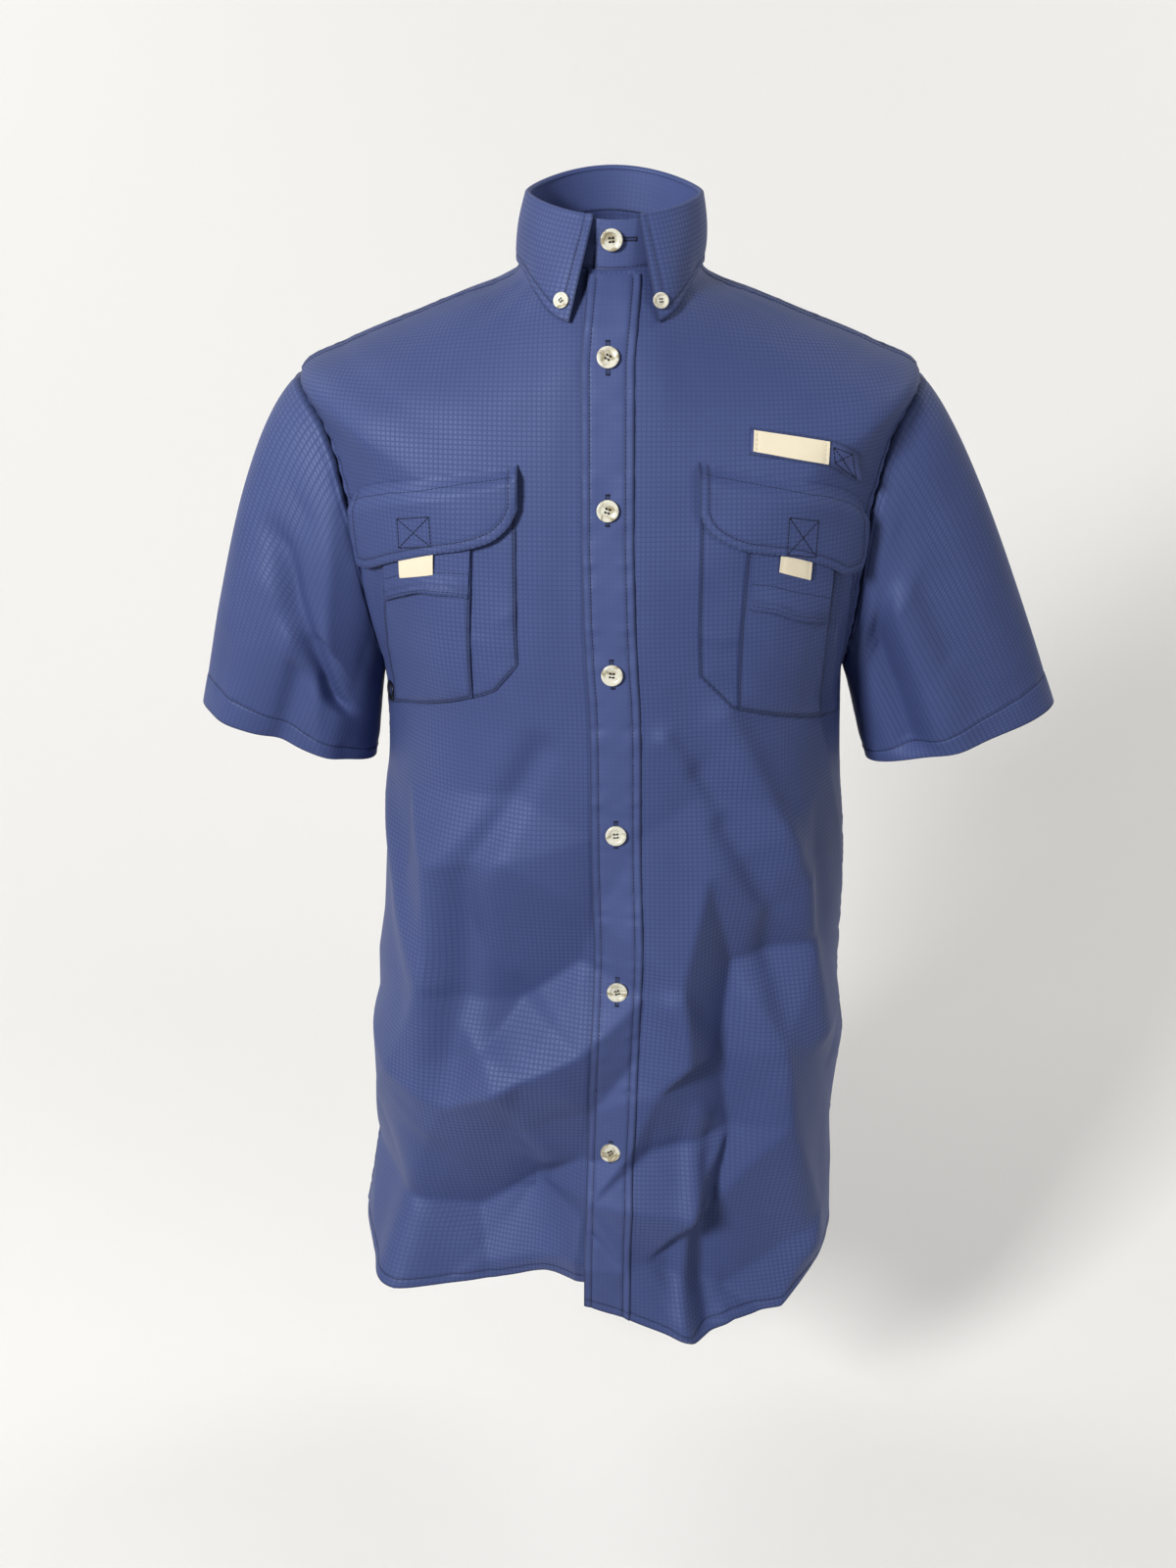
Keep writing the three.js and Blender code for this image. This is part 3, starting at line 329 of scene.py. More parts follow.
# Thread
STITCH_PITCH = 2.6
STITCH_LONG = 2.0
STITCH_WIDE = 0.55
BOX_STITCH_LONG = 2.4
BOX_STITCH_WIDE = 1.0
# How much painted shade a row of stitches gets, against a full edge
SEWN_SHADE = 0.4
EDGE_STITCH = 1.6
FLAP_STITCH = 6.0
WELT_STITCH = 5.5
TAB_STITCH = 1.5
LABEL_STITCH = 2.0
BUTTONHOLE_HALF = 9.5
BUTTONHOLE_PITCH = 0.62
STAND_HOLE = (-3.0, 15.5)


def slopes(at, values):
    """Slopes that keep a smooth curve through a column from overshooting its rows."""
    step = np.diff(at)
    rise = np.diff(values) / step
    w1 = 2 * step[1:] + step[:-1]
    w2 = step[1:] + 2 * step[:-1]
    same = rise[1:] * rise[:-1] > 0
    safe = np.where(same, rise[:-1], 1), np.where(same, rise[1:], 1)
    inner = np.where(same, (w1 + w2) / (w1 / safe[0] + w2 / safe[1]), 0)
    return np.concatenate([rise[:1], inner, rise[-1:]])


def curve(at, values, x):
    """A smooth curve through the rows of a table, straight beyond its ends."""
    at, values, x = (np.asarray(a, float) for a in (at, values, x))
    m = slopes(at, values)
    held = np.clip(x, at[0], at[-1])
    i = np.clip(np.searchsorted(at, held, side="right") - 1, 0, len(at) - 2)
    step = at[i + 1] - at[i]
    t = (held - at[i]) / step
    beyond = x - held
    end = np.where(beyond > 0, m[-1], m[0])
    return (
        (2 * t**3 - 3 * t**2 + 1) * values[i]
        + (t**3 - 2 * t**2 + t) * step * m[i]
        + (3 * t**2 - 2 * t**3) * values[i + 1]
        + (t**3 - t**2) * step * m[i + 1]
        + beyond * end
    )


def straight(table, at):
    """Straight lines through a table of [at, value] rows."""
    rows = sorted(table)
    return np.interp(at, [r[0] for r in rows], [r[1] for r in rows])


def smooth(x, low, high):
    t = np.clip((x - low) / (high - low), 0, 1)
    return t * t * (3 - 2 * t)


def mix(a, b, t):
    return a + (b - a) * t


def unit(v):
    return v / np.maximum(np.linalg.norm(v, axis=-1, keepdims=True), 1e-9)


def noise(seed, x, y, size):
    """Smooth random values from -1 to 1, size millimetres from bump to bump."""
    grid = np.random.default_rng(seed).uniform(-1, 1, (64, 64))
    x, y = np.asarray(x) / size, np.asarray(y) / size
    i, j = np.floor(x).astype(int), np.floor(y).astype(int)
    s, t = smooth(x - i, 0, 1), smooth(y - j, 0, 1)

    def at(a, b):
        return grid[a % 64, b % 64]

    return mix(mix(at(i, j), at(i + 1, j), s), mix(at(i, j + 1), at(i + 1, j + 1), s), t)


def torso(run, turn):
    """Points of the body cloth before its folds; turn in degrees."""
    run, turn = np.broadcast_arrays(np.asarray(run, float), np.radians(np.asarray(turn, float)))
    wide, front, back, mid_x, mid_y, z_front, z_side, z_back, square = (
        curve(TORSO[:, 0], TORSO[:, c], run) for c in range(1, 10)
    )
    c, d = np.cos(turn), np.sin(turn)
    deep = np.where(c > 0, front, back)
    level = np.where(c > 0, z_front, z_back)
    reach = (np.abs(c / deep) ** square + np.abs(d / wide) ** square) ** (-1 / square)
    return np.stack([mid_x + reach * d, mid_y - reach * c, z_side + (level - z_side) * c * c], -1)


def torso_normal(run, turn):
    down = torso(run + 0.5, turn) - torso(run - 0.5, turn)
    round_it = torso(run, turn + 0.23) - torso(run, turn - 0.23)
    return unit(np.cross(down, round_it))


def fold_out(folds, per_turn, per_height, turn, height):
    """How far folds stand out at a turn and height.

    Rows that begin where the row before ends are one fold, so only the nearest of them counts.
    """
    shape = np.broadcast(turn, height).shape
    out, nearest, nearest_out, end = np.zeros(shape), np.full(shape, np.inf), np.zeros(shape), None
    for turn1, at1, turn2, at2, half, out1, out2, crisp in folds:
        if (turn1, at1) != end:
            out = out + nearest_out
            nearest, nearest_out = np.full(shape, np.inf), np.zeros(shape)
        x = ((turn - turn1 + 540) % 360 - 180) * per_turn
        y = (height - at1) * per_height
        dx, dy = (turn2 - turn1) * per_turn, (at2 - at1) * per_height
        t = np.clip((x * dx + y * dy) / (dx * dx + dy * dy), 0, 1)
        off = np.hypot(x - dx * t, y - dy * t)
        round_top = mix(half, CREASE_ROUND, crisp)
        sharp = np.exp(-(np.sqrt(off**2 + round_top**2) - round_top) / half)
        here = mix(out1, out2, t) * np.where(crisp > 0, sharp, np.exp(-((off / half) ** 2)))
        closer = off / half < nearest
        nearest, nearest_out = np.where(closer, off / half, nearest), np.where(closer, here, nearest_out)
        end = (turn2, at2)
    return out + nearest_out


def facet_triangles():
    """Corner numbers of the triangles between the facets' corners."""
    flat_corners = [Vector((turn * MM_PER_DEGREE, z)) for turn, z, _ in FACETS]
    _, _, faces, *_ = delaunay_2d_cdt(flat_corners, [], [], 0, 1e-4)
    return [tuple(face) for face in faces if len(face) == 3]


def facet_out(turn, z):
    """How far the flat facets stand out at a turn and height."""
    out = np.zeros(np.broadcast(turn, z).shape)
    x = ((turn + 180) % 360 - 180) * MM_PER_DEGREE + 0 * z
    for face in FACET_FACES:
        (x1, z1, a), (x2, z2, b), (x3, z3, c) = (
            (FACETS[i][0] * MM_PER_DEGREE, FACETS[i][1], FACETS[i][2]) for i in face
        )
        area = (x2 - x1) * (z3 - z1) - (x3 - x1) * (z2 - z1)
        s = ((x2 - x) * (z3 - z) - (x3 - x) * (z2 - z)) / area
        t = ((x3 - x) * (z1 - z) - (x1 - x) * (z3 - z)) / area
        inside = (s >= 0) & (t >= 0) & (s + t <= 1)
        out = np.where(inside, s * a + t * b + (1 - s - t) * c, out)
    return FACET_DEPTH * out


def run_at(z, turn):
    """The run that lies at a height on each turn, by halving."""
    z, turn = np.broadcast_arrays(np.asarray(z, float), np.asarray(turn, float))
    low, high = np.zeros(z.shape), np.full(z.shape, float(LONGEST_RUN))
    for _ in range(HALVINGS):
        middle = (low + high) / 2
        above = torso(middle, turn)[..., 2] > z
        low, high = np.where(above, middle, low), np.where(above, high, middle)
    return (low + high) / 2


class Chart:
    """Cloth coordinates of the front or the back: across from its middle, and down."""

    def __init__(self, middle):
        self.middle = middle
        self.turn = np.linspace(-100, 100, 201)
        z, turn = np.meshgrid(np.linspace(CHART_TOP, CHART_BOTTOM, CHART_ROWS), self.turn, indexing="ij")
        points = torso(run_at(z, middle + turn), middle + turn)
        steps = np.linalg.norm(np.diff(points, axis=1), axis=-1)
        self.across = np.concatenate([np.zeros((CHART_ROWS, 1)), np.cumsum(steps, 1)], 1)
        self.across -= self.across[:, 100:101]
        self.reach = np.linspace(-CHART_REACH, CHART_REACH, 129)
        threads = np.stack([
            np.stack([np.interp(self.reach, row, p[:, k]) for k in range(3)], -1)
            for row, p in zip(self.across, points)
        ])
        fall = np.linalg.norm(np.diff(threads, axis=0), axis=-1)
        self.down = np.concatenate([np.zeros((1, len(self.reach))), np.cumsum(fall, 0)], 0)
        self.down -= self.down[100:101, :]

    def look_up(self, table, xs, z, x):
        last = CHART_ROWS - 1
        i = np.clip((CHART_TOP - z) / (CHART_TOP - CHART_BOTTOM) * last, 0, last - 0.001)
        j = np.clip((x - xs[0]) / (xs[1] - xs[0]), 0, len(xs) - 1.001)
        i0, j0 = i.astype(int), j.astype(int)
        s, t = i - i0, j - j0
        return mix(
            mix(table[i0, j0], table[i0 + 1, j0], s), mix(table[i0, j0 + 1], table[i0 + 1, j0 + 1], s), t
        )

    def cloth(self, z, turn):
        """Across and down of the cloth at a height and turn."""
        across = self.look_up(self.across, self.turn, z, turn - self.middle)
        return np.stack([across, -self.look_up(self.down, self.reach, z, across)], -1)

    def place(self, across, z):
        """Run and turn of a point given across the cloth and in height."""
        low, high = np.full(np.shape(across), -100.0), np.full(np.shape(across), 100.0)
        for _ in range(HALVINGS):
            middle = (low + high) / 2
            less = self.look_up(self.across, self.turn, z, middle) < across
            low, high = np.where(less, middle, low), np.where(less, high, middle)
        turn = self.middle + (low + high) / 2
        return run_at(z, turn), turn


FRONT = Chart(0)
BACK = Chart(180)
FACET_FACES = facet_triangles()
# Looking a little to each side rounds the creases between facets
FACET_SOFTENING = [(-1.6, -1), (1.6, -1), (0, 1.8)]


def drape(turn, z):
    """Small unevenness of hanging cloth, more of it lower down."""
    wave = noise(11, turn * MM_PER_DEGREE, z * 0.45, 46) * mix(0.5, 1.3, smooth(-z, 150, 600))
    small = noise(12, turn * MM_PER_DEGREE, z * 0.7, 19) * 0.28
    return wave + small


def body(run, turn, extra=()):
    """Points of the body cloth with its folds, and the way it faces there."""
    base, facing = torso(run, turn), torso_normal(run, turn)
    wrapped = (np.asarray(turn, float) + 180) % 360 - 180
    folds = FOLDS + CREASES + list(extra)
    out = fold_out(folds, MM_PER_DEGREE, 1, wrapped, base[..., 2]) + drape(wrapped, base[..., 2])
    out = out + sum(
        facet_out(wrapped + x / MM_PER_DEGREE, base[..., 2] + z) for x, z in FACET_SOFTENING
    ) / len(FACET_SOFTENING)
    return base + facing * out[..., None], facing


def raised(points, facing, height):
    return points + facing * np.expand_dims(height, -1)


def chest(across, z):
    """Points of the body cloth and its facing, at places across the front and in height."""
    across, z = np.broadcast_arrays(np.asarray(across, float), np.asarray(z, float))
    return body(*FRONT.place(across, z))


# Materials


def new_material(name):
    material = bpy.data.materials.new(name)
    material.use_nodes = True
    nodes, links = material.node_tree.nodes, material.node_tree.links
    return material, nodes, links, nodes["Principled BSDF"]


def set_inputs(node, **values):
    for name, value in values.items():
        node.inputs[name.replace("_", " ")].default_value = value


def math_node(nodes, links, kind, a, b=None):
    node = nodes.new("ShaderNodeMath")
    node.operation = kind
    for socket, value in zip(node.inputs, (a, b)):
        if value is None:
            continue
        if isinstance(value, (int, float)):
            socket.default_value = value
        else:
            links.new(value, socket)
    return node.outputs[0]


def colour_mix(nodes, links, factor, a, b, blend="MIX"):
    node = nodes.new("ShaderNodeMix")
    node.data_type = "RGBA"
    node.blend_type = blend
    for socket, value in ((node.inputs[0], factor), (node.inputs[6], a), (node.inputs[7], b)):
        if hasattr(value, "links"):
            links.new(value, socket)
        elif isinstance(value, (int, float)):
            socket.default_value = value
        else:
            socket.default_value = (*value, 1)
    return node.outputs[2]


def bump(nodes, links, height, strength, distance, base=None):
    node = nodes.new("ShaderNodeBump")
    set_inputs(node, Strength=strength, Distance=distance)
    links.new(height, node.inputs["Height"])
    if base is not None:
        links.new(base, node.inputs["Normal"])
    return node.outputs[0]


CHECK_PITCH = 3.3
# How far the painted shade along edges and rows of stitches darkens the cloth's colour
SEAM_PAINTED_SHADE = 0.62


def checked_cloth(name, ground, square, check_strength, roughness):
    """Light polyester with small raised squares between finer sunken lines."""
    material, nodes, links, shader = new_material(name)
    cloth = nodes.new("ShaderNodeUVMap")
    cloth.uv_map = "cloth"
    scaled = nodes.new("ShaderNodeMapping")
    scaled.inputs["Scale"].default_value = (1 / (CHECK_PITCH * MM),) * 3
    links.new(cloth.outputs[0], scaled.inputs[0])
    check = nodes.new("ShaderNodeTexBrick")
    check.offset = 0.0
    check.squash = 1.0
    set_inputs(check, Scale=1.0, Mortar_Size=0.3, Mortar_Smooth=1.0, Brick_Width=1.0, Row_Height=1.0)
    links.new(scaled.outputs[0], check.inputs["Vector"])
    raised_squares = math_node(nodes, links, "SUBTRACT", 1.0, check.outputs["Fac"])

    weave = nodes.new("ShaderNodeTexWave")
    weave.bands_direction = "DIAGONAL"
    set_inputs(weave, Scale=3.2, Distortion=1.2, Detail=1.0)
    links.new(scaled.outputs[0], weave.inputs["Vector"])

    wear_and_sheen = nodes.new("ShaderNodeTexNoise")
    set_inputs(wear_and_sheen, Scale=9.0, Detail=3.0, Roughness=0.55)
    place = nodes.new("ShaderNodeTexCoord")
    links.new(place.outputs["Object"], wear_and_sheen.inputs["Vector"])

    # Painted sheen: the lighter squares of the woven check show strongly in patches and faintly between them,
    # as where satin squares catch the light; the same noise also darkens the ground in random patches
    sheen = nodes.new("ShaderNodeMapRange")
    set_inputs(sheen, From_Min=0.38, From_Max=0.62, To_Min=0.35 * check_strength, To_Max=check_strength)
    links.new(wear_and_sheen.outputs["Fac"], sheen.inputs["Value"])
    lit = math_node(nodes, links, "MULTIPLY", raised_squares, sheen.outputs[0])
    colour = colour_mix(nodes, links, lit, ground, square)
    patchy = math_node(nodes, links, "MULTIPLY", wear_and_sheen.outputs["Fac"], 0.2)
    colour = colour_mix(nodes, links, patchy, colour, tuple(c * 0.75 for c in ground))
    # Painted shade: the colour darkens along edges and rows of stitches, where contact shade falls, read from
    # the mesh's seam attribute
    seam = nodes.new("ShaderNodeAttribute")
    seam.attribute_name = "seam"
    painted_shade = math_node(nodes, links, "MULTIPLY", seam.outputs["Fac"], SEAM_PAINTED_SHADE)
    colour = colour_mix(nodes, links, painted_shade, colour, tuple(c * 0.1 for c in ground))
    links.new(colour, shader.inputs["Base Color"])

    dull = nodes.new("ShaderNodeMapRange")
    set_inputs(dull, To_Min=roughness + 0.1, To_Max=roughness - 0.06)
    links.new(raised_squares, dull.inputs["Value"])
    links.new(dull.outputs[0], shader.inputs["Roughness"])
    set_inputs(shader, Specular_IOR_Level=0.5)
    shader.inputs["Specular Tint"].default_value = (0.62, 0.72, 1.0, 1)
    fine = bump(nodes, links, weave.outputs["Fac"], 0.12, 0.00008)
    links.new(bump(nodes, links, raised_squares, 0.16, 0.00015, fine), shader.inputs["Normal"])
    return material


def label_cloth():
    """Cream woven tape, blank."""
    material, nodes, links, shader = new_material("cream_woven_tape")
    cloth = nodes.new("ShaderNodeUVMap")
    cloth.uv_map = "cloth"
    weave = nodes.new("ShaderNodeTexWave")
    weave.bands_direction = "Y"
    set_inputs(weave, Scale=900.0, Distortion=0.6, Detail=1.0)
    links.new(cloth.outputs[0], weave.inputs["Vector"])
    soil = nodes.new("ShaderNodeTexNoise")
    set_inputs(soil, Scale=160.0, Detail=4.0)
    links.new(cloth.outputs[0], soil.inputs["Vector"])
    faint = math_node(nodes, links, "MULTIPLY", soil.outputs["Fac"], 0.35)
    colour = colour_mix(nodes, links, faint, (0.86, 0.77, 0.58), (0.72, 0.62, 0.44))
    links.new(colour, shader.inputs["Base Color"])
    set_inputs(shader, Roughness=0.78, Specular_IOR_Level=0.25, Sheen_Weight=0.1)
    links.new(bump(nodes, links, weave.outputs["Fac"], 0.3, 0.0001), shader.inputs["Normal"])
    return material


def thread(name, colour):
    material, nodes, links, shader = new_material(name)
    place = nodes.new("ShaderNodeTexCoord")
    twist = nodes.new("ShaderNodeTexNoise")
    set_inputs(twist, Scale=2500.0, Detail=2.0)
    links.new(place.outputs["Object"], twist.inputs["Vector"])
    uneven = math_node(nodes, links, "MULTIPLY", twist.outputs["Fac"], 0.6)
    shade = colour_mix(nodes, links, uneven, colour, tuple(c * 0.55 for c in colour))
    links.new(shade, shader.inputs["Base Color"])
    set_inputs(shader, Roughness=0.55, Specular_IOR_Level=0.35)
    return material


def marbled_plastic():
    """Cream button plastic with brown clouds, as imitation horn has."""
    material, nodes, links, shader = new_material("marbled_button_plastic")
    place = nodes.new("ShaderNodeTexCoord")
    cloud = nodes.new("ShaderNodeTexNoise")
    set_inputs(cloud, Scale=95.0, Detail=3.0, Distortion=1.6)
    links.new(place.outputs["Object"], cloud.inputs["Vector"])
    ramp = nodes.new("ShaderNodeValToRGB")
    ramp.color_ramp.elements[0].position = 0.36
    ramp.color_ramp.elements[0].color = (0.36, 0.31, 0.20, 1)
    ramp.color_ramp.elements[1].position = 0.5
    ramp.color_ramp.elements[1].color = (0.74, 0.72, 0.60, 1)
    links.new(cloud.outputs["Fac"], ramp.inputs[0])
    links.new(ramp.outputs[0], shader.inputs["Base Color"])
    set_inputs(shader, Roughness=0.24, Specular_IOR_Level=0.5, Coat_Weight=0.25, Coat_Roughness=0.15)
    return material


def dark_metal():
    material, nodes, links, shader = new_material("blackened_eyelet_metal")
    place = nodes.new("ShaderNodeTexCoord")
    worn = nodes.new("ShaderNodeTexNoise")
    set_inputs(worn, Scale=500.0, Detail=3.0)
    links.new(place.outputs["Object"], worn.inputs["Vector"])
    colour = colour_mix(nodes, links, worn.outputs["Fac"], (0.02, 0.022, 0.03), (0.06, 0.062, 0.07))
    links.new(colour, shader.inputs["Base Color"])
    set_inputs(shader, Roughness=0.38, Metallic=0.85)
    return material


NAVY = (0.043, 0.061, 0.172)
NAVY_LIGHT = (0.076, 0.105, 0.262)
FACING = (0.058, 0.080, 0.212)
SHIRT = checked_cloth("navy_check_cloth", NAVY, NAVY_LIGHT, 0.75, 0.6)
PLAIN = checked_cloth("navy_facing_cloth", FACING, NAVY_LIGHT, 0.3, 0.6)
TAPE = label_cloth()
NAVY_THREAD = thread("navy_thread", (0.012, 0.016, 0.048))
CREAM_THREAD = thread("cream_thread", (0.62, 0.55, 0.42))
BUTTONS = marbled_plastic()
METAL = dark_metal()

# Meshes

built = {}


def finish_piece(obj, material, replaces=()):
    obj.data.materials.clear()
    obj.data.materials.append(material)
    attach(obj, "root")
    if replaces:
        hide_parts(*replaces)
    built[replaces[0] if replaces else obj.name] = obj
    return obj


def grid_mesh(name, outer, inner, cloth, seams, ringed=False):
    """A closed sheet from an outer and an inner grid of points, in millimetres.

    Seams are the painted shade: 1 where shade is painted dark along an edge or a row of stitches, else 0.
    """
    rows, columns = outer.shape[:2]
    size = rows * columns
    across = columns if ringed else columns - 1
    j, i = np.meshgrid(np.arange(rows - 1), np.arange(across), indexing="ij")
    j, i = j.ravel(), i.ravel()
    corners = [(j, i), (j, i + 1), (j + 1, i + 1), (j + 1, i)]
    outer_faces = np.stack([r * columns + c % columns for r, c in corners], -1)
    inner_faces = outer_faces[:, ::-1] + size
    rims = []

    def rim(r, c, r2, c2):
        a, b = r * columns + c % columns, r2 * columns + c2 % columns
        rims.append((np.stack([b, a, a + size, b + size], -1), [(r2, c2), (r, c), (r, c), (r2, c2)]))

    i1 = np.arange(across)
    rim(np.zeros_like(i1), i1, np.zeros_like(i1), i1 + 1)
    rim(np.full_like(i1, rows - 1), i1 + 1, np.full_like(i1, rows - 1), i1)
    if not ringed:
        j1 = np.arange(rows - 1)
        rim(j1 + 1, np.zeros_like(j1), j1, np.zeros_like(j1))
        rim(j1, np.full_like(j1, columns - 1), j1 + 1, np.full_like(j1, columns - 1))
    faces = np.concatenate([outer_faces, inner_faces] + [r[0] for r in rims])
    uv = np.concatenate(
        [np.stack([cloth[r, c] for r, c in corners], 1)]
        + [np.stack([cloth[r, c] for r, c in corners[::-1]], 1)]
        + [np.stack([cloth[r, c] for r, c in order], 1) for _, order in rims]
    )
    points = np.concatenate([outer.reshape(-1, 3), inner.reshape(-1, 3)]) * MM
    a, b, c, d = (points[faces[:, k]] for k in range(4))
    if (np.cross(b - a, c - a) * a).sum() + (np.cross(c - a, d - a) * a).sum() < 0:
        faces, uv = faces[:, ::-1], uv[:, ::-1]
    mesh = bpy.data.meshes.new(f"{name}_cloth")
    mesh.from_pydata(points.tolist(), [], faces.tolist())
    layer = mesh.uv_layers.new(name="cloth")
    layer.data.foreach_set("uv", (uv * MM).astype(np.float32).ravel())
    # The painted shade along edges and stitch rows is kept on the points as the seam attribute
    painted_shade = mesh.attributes.new("seam", "FLOAT", "POINT")
    painted_shade.data.foreach_set("value", np.tile(np.clip(seams, 0, 1).ravel(), 2).astype(np.float32))
    mesh.shade_smooth()
    mesh.set_sharp_from_angle(angle=math.radians(55))
    obj = bpy.data.objects.new(f"{name}_cloth", mesh)
    bpy.context.scene.collection.objects.link(obj)
    return obj


def grid_normals(points, ringed=False):
    """Facing of each grid point, from its neighbours."""
    if ringed:
        round_it = np.roll(points, -1, 1) - np.roll(points, 1, 1)
    else:
        round_it = np.gradient(points, axis=1)
    return unit(np.cross(np.gradient(points, axis=0), round_it))


def spaced(*spans):
    """Places from span to span, each (from, to, step)."""
    places = [np.array([spans[0][0]])]
    for low, high, step in spans:
        count = max(1, int(round(abs(high - low) / step)))
        places.append(np.linspace(low, high, count + 1)[1:])
    return np.concatenate(places)


def sunk_line(distance, at, depth, half=1.3):
    """The dip that a row of stitches pulls into the cloth."""
    return -depth * np.exp(-(((distance - at) / half) ** 2))


# How painted shade fades away from an edge or a row of stitches
def painted_shade_line(distance, half=1.2):
    return np.exp(-((distance / half) ** 2))


def pucker(seed, along, distance, reach, high):
    """Short ripples that cross a seam and fade away from it."""
    wave = noise(seed, along, distance * 0.25, 5.5) + 0.5 * noise(seed + 1, along, distance * 0.2, 11)
    return high * wave * np.exp(-((distance / reach) ** 2))


# Torso panels


def rows_down(step):
    """Row numbers as the frame counts them: 0-1 shoulder, 1-2 armhole, 2-3 side, by run."""
    return spaced(
        (0, 1, step / TIP_RUN), (1, 2, step * 0.6 / ARMHOLE_ROUND),
        (2, 2.97, step / SIDE_LENGTH), (2.97, 3, 1.2 / SIDE_LENGTH),
    )


def row_run(row, turn, hem):
    """The run of a row at a turn, for a panel whose hem has this height there."""
    shoulder = TIP_RUN * np.minimum(row, 1)
    part = np.clip(row - 1, 0, 1)
    armhole = (UNDERARM_RUN - TIP_RUN) * (1 - np.cos(np.pi * part)) / 2
    above = shoulder + armhole
    return np.where(row > 2, mix(UNDERARM_RUN, run_at(hem, turn), np.clip(row - 2, 0, 1)), above)


def edge_turn(row, scoop):
    return 90 - scoop * np.sin(np.pi * np.clip(row - 1, 0, 1))


def centre_turn(row, offset):
    run = row_run(row, 0.0, torso(HEM_RUN, 0.0)[2])
    z = torso(run, 0.0)[..., 2]
    return np.degrees((straight(PLACKET_LINE, z) + offset) / curve(TORSO[:, 0], TORSO[:, 2], run))


def lap_lift(run, turn):
    """How far the upper front stands off, where it laps over the other."""
    front = curve(TORSO[:, 0], TORSO[:, 2], run)
    return LAP_LIFT * (1 - smooth(np.radians(turn) * front, LAP_FULL, LAP_END))


def no_lift(run, turn):
    return 0 * run


# Body panels: the edges are a turn for each row
PANELS = {
    "front_right": dict(
        chart=FRONT, hem=HEM_UNDER, step=BODY_STEP, columns=92, lift=no_lift, extra=UNDER_FOLDS, seed=21,
        start=lambda row: centre_turn(row, UNDER_EDGE), end=lambda row: -edge_turn(row, SCOOP_FRONT),
    ),
    "front_left": dict(
        chart=FRONT, hem=HEM_OVER, step=BODY_STEP, columns=92, lift=lap_lift, extra=(), seed=22,
        start=lambda row: centre_turn(row, OVER_EDGE), end=lambda row: edge_turn(row, SCOOP_FRONT),
    ),
    "back": dict(
        chart=BACK, hem=HEM_BACK, step=BACK_STEP, columns=138, lift=no_lift, extra=(), seed=23,
        start=lambda row: 180 - edge_turn(row, SCOOP_BACK), end=lambda row: 180 + edge_turn(row, SCOOP_BACK),
    ),
}


def panel_width(cut, row):
    """Width of a panel at the pace that its side edge has, so that a gap from that edge is true."""
    side = curve(TORSO[:, 0], TORSO[:, 1], row_run(row, 90.0, SIDE_HEM_Z))
    return np.radians(np.abs(cut["end"](row) - cut["start"](row))) * side


def seam_ladder(seed, along, row, seams):
    """Cloth bunched in short bars between the two rows of a felled seam, most of it at the armhole."""
    rungs = np.sin(along * (2 * np.pi / LADDER_PITCH) + 2.5 * noise(seed + 3, along, 0 * seams, 40))
    rungs = rungs * (0.6 + 0.4 * noise(seed + 4, along, 0 * seams, 25))
    rungs = rungs * (0.25 + 0.75 * smooth(row, 0.9, 1.1) * (1 - smooth(row, 2, 2.2)))
    return 0.8 * rungs * np.exp(-(((seams - BAND_WIDTH / 2) / BAND_WIDTH) ** 2))


def make_panel(name):
    cut = PANELS[name]
    chart, start, end, hem, lift = (cut[key] for key in ("chart", "start", "end", "hem", "lift"))
    extra, seed = cut["extra"], cut["seed"]
    rows = rows_down(cut["step"])
    fine_step = EDGE_STEP / PANEL_WIDTH
    across = spaced((0, 0.05, fine_step), (0.05, 0.95, 1 / cut["columns"]), (0.95, 1, fine_step))
    row = rows[:, None] + 0 * across[None]
    turn = mix(start(rows)[:, None], end(rows)[:, None], across[None])
    run = row_run(row, turn, straight(hem, turn))
    hem_gap = run_at(straight(hem, turn), turn) - run
    width = panel_width(cut, rows)[:, None]
    from_end = (1 - across[None]) * width
    from_start = across[None] * width
    seams = from_end if chart is FRONT else np.minimum(from_end, from_start)
    along = np.interp(row, (0, 1, 2, 3), np.cumsum([0, TIP_RUN, ARMHOLE_ROUND, SIDE_LENGTH]))
    band = seams < BAND_WIDTH
    fine = pucker(seed, along, seams, 12, 0.5) + sunk_line(seams, 0, 0.9, 2.0)
    fine = fine + seam_ladder(seed, along, row, seams)
    fine = fine + 0.6 * band + sunk_line(seams, BAND_WIDTH, 0.7, 1.6)
    fine = fine + np.where(hem_gap < HEM_STITCH, 0.35, 0) + sunk_line(hem_gap, HEM_STITCH, 0.4, 1.4)
    fine = fine + pucker(seed + 5, turn * MM_PER_DEGREE, hem_gap - HEM_STITCH, 7, 0.45)
    neck = np.maximum(run, 0)
    fine = fine + pucker(seed + 9, turn * 1.2, neck, 10, 0.45)
    on_body = body(run, turn, extra)
    outer = raised(*on_body, lift(run, turn) + fine)
    inner = raised(*on_body, lift(run, turn) + np.minimum(fine, 0.1) - CLOTH)
    z = torso(run, turn)[..., 2]
    # Painted shade along the side seam, the armhole band's row of stitches, the hem and its stitches
    painted_shade = painted_shade_line(seams, 1.8) + SEWN_SHADE * painted_shade_line(seams - BAND_WIDTH) * (row < 2)
    painted_shade = painted_shade + painted_shade_line(hem_gap) + SEWN_SHADE * painted_shade_line(hem_gap - HEM_STITCH)
    obj = grid_mesh(name, outer, inner, chart.cloth(z, turn), painted_shade)
    return finish_piece(obj, SHIRT, (name,))


def placket_bottom(x):
    """Height of the placket's lower end, x across from its middle."""
    slope = (straight(HEM_OVER, 7.0) - straight(HEM_OVER, -7.0)) / PLACKET_WIDTH
    return straight(HEM_OVER, 0.0) - 0.8 + slope * x


